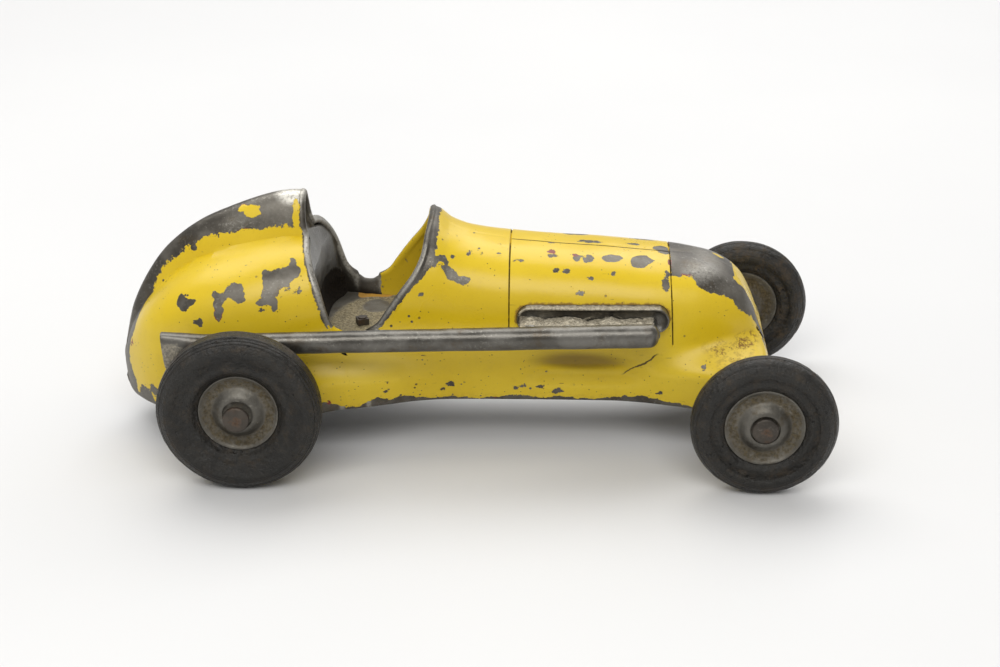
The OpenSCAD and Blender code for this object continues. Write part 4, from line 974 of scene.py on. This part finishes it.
def exhaust():
    a = np.arange(40) * 2 * np.pi / 40
    ca, sa = np.cos(a), np.sin(a)
    p0, p1 = np.array([59.4, -35.8, 47.9]), np.array([-86, -41.1, 45.3])
    sections = []

    def ring(x, y, z, ry, rz, power=2.0, slant=0.0):
        k = (np.abs(ca) ** power + np.abs(sa) ** power) ** (-1 / power)
        zz = rz * k * sa
        return np.stack([x + slant * zz, y + ry * k * ca, z + zz], 1)

    for t in np.linspace(0, np.pi / 2, 9)[:-1]:
        grow = math.sin(t)
        c = p0 + (p0 - p1) / 146 * 3.0 * math.cos(t)
        sections.append(ring(c[0], c[1], c[2], 1.1 + 2.7 * grow, 1.1 + 2.75 * grow, 2.2))
    for t in np.linspace(0, 1, 90):
        c = p0 + (p1 - p0) * t
        sections.append(ring(c[0], c[1], c[2], 3.8 - 0.5 * t, 3.85 - 0.4 * t, 2.2))
    for t in np.linspace(0, 1, 16)[1:]:
        e = t * t * (3 - 2 * t) * 0.55 + t * 0.45
        sections.append(ring(-86 - 12.8 * t, -41.1 - 0.1 * t, 45.3 - 2.1 * e, 3.3 - 0.65 * e, 3.45 + 2.75 * e, 2.2 + 1.1 * e,
                             -0.1 * e))
    for t in (0, 0.4, 1):
        sections.append(ring(-99.0 + 0.5 * t, -41.2, 43.2, 2.55 - 0.5 * t, 6.15 - 0.5 * t, 3.2, -0.1))
    for t in np.linspace(0, 1, 10)[1:]:
        e = 1 - t
        sections.append(ring(-98.5 + 14.6 * t, -41.2 + 0.1 * t, 43.2 + 2.1 * t, 2.05 * (0.55 + 0.45 * e), 2.1 + 3.55 * e,
                             2 + 1.2 * e, -0.1 * e))
    pts, faces = loft(sections)
    pts += np.stack([0 * pts[:, 0], lump(pts, 0.10, 6, 41), lump(pts, 0.12, 9, 42)], 1)
    # long flange with a raised border and a sunk middle
    depth = [(0, -21.5), (0, -26.6), (0.06, -26.9), (0.2, -27.05), (0.5, -27.05), (0.64, -26.95), (0.9, -26.6), (1.4, -26.1),
             (2.0, -25.75), (2.8, -25.55), (3.6, -25.5)]
    tray = []
    for inset, y in depth:
        r = TRAY_R - inset
        tray.append(np.array([(x, y, z) for x, z in stadium(15.8 + inset, 66.3 - inset, TRAY_Z, r, 16)]))
    tp, tf = loft(tray)
    tf = [tuple(np.array(f) + len(pts)) for f in tf]
    pts, faces = np.concatenate([pts, tp]), faces + tf
    # stubs that swell into the pipe, half buried in lint
    for k in range(4):
        x = 20.6 + k * 13.1
        rings = []
        for t in np.linspace(0, 1, 9):
            r = 2.0 + 0.6 * (2 * t - 1) ** 2 + 0.2 * math.sin(3 * k + 5 * t)
            rings.append(np.stack([x + 1.15 * r * ca, -25.1 - 9.4 * t + 0 * ca, 48.1 - 0.3 * t + 0.9 * r * sa], 1))
        sp, sf = loft(rings)
        sp += np.stack([lump(sp, 0.6, 2.6, 51 + k), 0 * sp[:, 0], lump(sp, 0.6, 2.2, 61 + k)], 1)
        sf = [tuple(np.array(f) + len(pts)) for f in sf]
        pts, faces = np.concatenate([pts, sp]), faces + sf
    # a bed of lint between the stubs, heaped over each
    xs, ys = np.meshgrid(np.linspace(17.2, 60.2, 90), np.linspace(-34.8, -25.9, 24), indexing="ij")
    heap = sum(np.exp(-((xs - 20.6 - k * 13.1) / 2.9) ** 2) for k in range(4))
    flat = np.stack([xs.ravel(), ys.ravel(), np.full(xs.size, 49.0)], 1)
    edge = smooth((xs - 17.2) / 2) * smooth((60.2 - xs) / 4) - 1.2 * smooth((xs - 57.5) / 2.7)
    rise = edge.ravel() * (0.35 + 0.9 * heap.ravel() + lump(flat, 0.75, 2.6, 51) + lump(flat, 0.4, 1.1, 52))
    top, bottom = flat.copy(), flat.copy()
    top[:, 2] += np.clip(rise, -0.8, 2.1)
    bottom[:, 2] = 47.2
    bed, bf = slab(top, bottom, *xs.shape)
    bf = [tuple(np.array(f) + len(pts)) for f in bf]
    pts, faces = np.concatenate([pts, bed]), faces + bf
    # loose fibres caught on the stubs
    rng = np.random.default_rng(7)
    for k in range(64):
        at = np.array([rng.uniform(18, 61), rng.uniform(-32, -26.5), rng.uniform(49.6, 50.6)])
        turn, bend, reach = rng.uniform(0, 6.28), rng.uniform(-0.5, 0.5), rng.uniform(1.2, 3.0)
        rings = []
        for t in np.linspace(-1, 1, 7):
            way = turn + bend * t * 2
            c = at + np.array([math.cos(way) * t * reach, math.sin(way) * t * reach * 0.5, 0.7 * (1 - t * t) - 0.3])
            rings.append(np.array([c + 0.07 * np.array([0, math.cos(q), math.sin(q)]) for q in (0, 2.09, 4.19)]))
        fp, ff = loft(rings)
        ff = [tuple(np.array(f) + len(pts)) for f in ff]
        pts, faces = np.concatenate([pts, fp]), faces + ff
    ob = mesh_object("exhaust_casting", pts, faces, 40)

    def dust(x, y, z):
        lint = (y > -34.6) & (y < -25.8) & (x > 16.8) & (x < 61) & (z > 46.2)
        low = smooth((50.6 - z) / 1.2) * (z < 50.6) + (z > 49.9) * (np.abs(y + 30) < 3.4)
        crest = 0.5 * smooth((z - TRAY_Z - TRAY_R + 0.4) / 0.3) * smooth((-25.6 - y) / 0.8) * (y > -28)
        mouth = 0.5 * smooth((-89 - x) / 6) * (z < 46.5) + 0.22 * (x > 10) * (y > -27.02)
        return np.clip(lint * np.minimum(low, 1) + crest + mouth, 0, 1)
    field(ob, "dust", dust)
    finish_piece(ob, CAST, "chassis", ("exhaust",))


exhaust()


# ---------------------------------------------------------------- cockpit
def seat_back():
    """Bulkhead that curves forward into both side walls and down onto the floor."""
    zs = np.concatenate([np.linspace(36.3, 52, 30), np.linspace(52.4, 76, 50), np.linspace(76.5, 81.4, 12)])
    u = np.linspace(-1, 1, 101)
    front, rear = [], []
    for z in zs:
        line = float(along(RIM, z))
        xb = min(line, -49.6) - 2.8
        w = max(float(half_width(np.array(xb - 1), np.array(z + 2.2))) - WALL - 0.15, 1.2)
        bend = 1 - np.sqrt(np.maximum(1 - (np.maximum(np.abs(u) - 0.42, 0) / 0.58) ** 2, 0))
        x = xb + min(10.0, line - xb - 0.5) * bend + 2.2 * max(0, 1 - (z - 36.3) / 6) ** 2
        front.append(np.stack([x, u * w, np.full(len(u), z)], 1))
        rear.append(np.stack([x - 1.5, u * w, np.full(len(u), z)], 1))
    n, m = len(front), len(u)
    pts, faces = slab(np.array(front).reshape(-1, 3), np.array(rear).reshape(-1, 3), n, m)
    pts[:, 0] += lump(pts, 0.12, 6, 71)
    ob = mesh_object("seat_bulkhead", pts, faces, 40)
    # near-black towards the floor, like the darkening of the cockpit's rear walls
    field(ob, "dust", lambda x, y, z: 1.25 * smooth((np.interp(-x, [42, 46, 50], [41, 46, 49.5]) - z) / 5))
    finish_piece(ob, SEAT, "chassis", ("seat_back",))


seat_back()


def cockpit_floor():
    xs = np.linspace(-51.8, -15.6, 60)
    u = np.linspace(-1, 1, 61)
    top = []
    for x in xs:
        w = float(half_width(np.array(x), np.array(38.0))) - WALL - 0.35
        y = u * w
        top.append(np.stack([np.full(len(u), x), y, 36.0 + 1.3 * np.abs(u) ** 10 + 0 * y], 1))
    top = np.array(top)
    flat = top.reshape(-1, 3)
    flat[:, 2] += lump(flat, 0.22, 7, 81) - 0.12 + lump(flat, 0.10, 2.2, 82)
    bottom = flat.copy()
    bottom[:, 2] = 34.4
    pts, faces = slab(flat, bottom, *top.shape[:2])
    ob = mesh_object("cockpit_floor_plate", pts, faces, 40)

    def dust(x, y, z):
        oval = smooth(2.6 - 2 * np.hypot((x + 34.5) / 4.4, (y - 16) / 4.7))
        # less dust in the floor's rear corners, next to the bulkhead and walls: a painted shade
        corner = smooth((np.hypot((x + 36) / 15.5, (y + 1) / 28) - 0.80) / 0.2) * (x < -38)
        return np.clip(0.74 - 0.9 * oval - 0.8 * corner, 0, 1)
    field(ob, "second", lambda x, y, z: smooth((y - 21.5) / 2.5) * smooth((x + 43) / 3) * smooth((-27 - x) / 4))
    field(ob, "dust", dust)
    finish_piece(ob, FLOOR_PLATE, "chassis", ("cockpit_floor",))


cockpit_floor()

# ---------------------------------------------------------------- CAD nodes that stay, with better finishes
FINISH = {"belly_pan": SHEET, "pan_screws": SCREW, "floor_post": SCREW, "floor_bolt": STEEL, "floor_nut": STEEL,
          "exhaust_screws": SCREW, "front_washers": SCREW, "rear_washers": SCREW, "rear_bushes": BRASS,
          "axle_pinion": BRASS, "idler_wheel": BRASS, "idler_pinion": BRASS, "idler_arbor": PLATE, "spring_gear": BRASS,
          "spring_arbor": PLATE, "mainspring": SPRING, "spring_post": PLATE, "motor_plate_left": PLATE,
          "motor_plate_right": PLATE, "motor_pillars": PLATE, "motor_pillar_screws": SCREW, "motor_foot_screws": SCREW}
for name, material in FINISH.items():
    for slot in nodes[name].material_slots:
        slot.material = material

# ---------------------------------------------------------------- stage, light and camera
stage = mesh_object("stage_floor", [(-9, -9, 0), (9, -9, 0), (9, 9, 0), (-9, 9, 0)], [(0, 1, 2, 3)], scale=1)
stage.data.materials.append(floor_material())


def area(name, at, target, size, power, colour=(1, 1, 1)):
    light = bpy.data.lights.new(name, "AREA")
    light.shape, light.size, light.size_y = "RECTANGLE", size[0], size[1]
    light.energy, light.color = power, colour
    ob = bpy.data.objects.new(name, light)
    bpy.context.scene.collection.objects.link(ob)
    ob.location = at
    ob.rotation_euler = (Vector(target) - Vector(at)).to_track_quat("-Z", "Y").to_euler()


area("back_window", (-0.25, 0.6, 1.15), (0, 0.05, 0), (1.5, 0.9), 12.5, (1.0, 0.995, 0.985))
area("front_window", (-0.1, -0.95, 1.15), (0, 0, 0.03), (1.3, 0.7), 12, (1.0, 0.99, 0.97))
area("far_edge", (0.6, 1.1, 0.8), (0, 0, 0.04), (1.0, 0.6), 3.5, (1.0, 1.0, 1.0))
world = bpy.data.worlds.new("studio")
world.use_nodes = True
world.node_tree.nodes["Background"].inputs["Color"].default_value = (1.0, 0.985, 0.96, 1)
world.node_tree.nodes["Background"].inputs["Strength"].default_value = 0.44
bpy.context.scene.world = world
bpy.context.scene.view_settings.view_transform = "Standard"

azimuth, elevation, roll = math.radians(1.915), math.radians(23.322), math.radians(-0.118)
target = Vector((9.515, 0, 32.757)) * MM
away = Vector((math.sin(azimuth) * math.cos(elevation), -math.cos(azimuth) * math.cos(elevation), math.sin(elevation)))
right = Vector((math.cos(azimuth), math.sin(azimuth), 0))
up = away.cross(right)
right, up = right * math.cos(roll) + up * math.sin(roll), up * math.cos(roll) - right * math.sin(roll)
data = bpy.data.cameras.new("camera")
data.lens, data.sensor_width, data.clip_start = 73.76, 36, 0.01
camera = bpy.data.objects.new("camera", data)
bpy.context.scene.collection.objects.link(camera)
camera.matrix_world = Matrix.Translation(target + away * 707.449 * MM) @ Matrix((right, up, away)).transposed().to_4x4()
bpy.context.scene.camera = camera
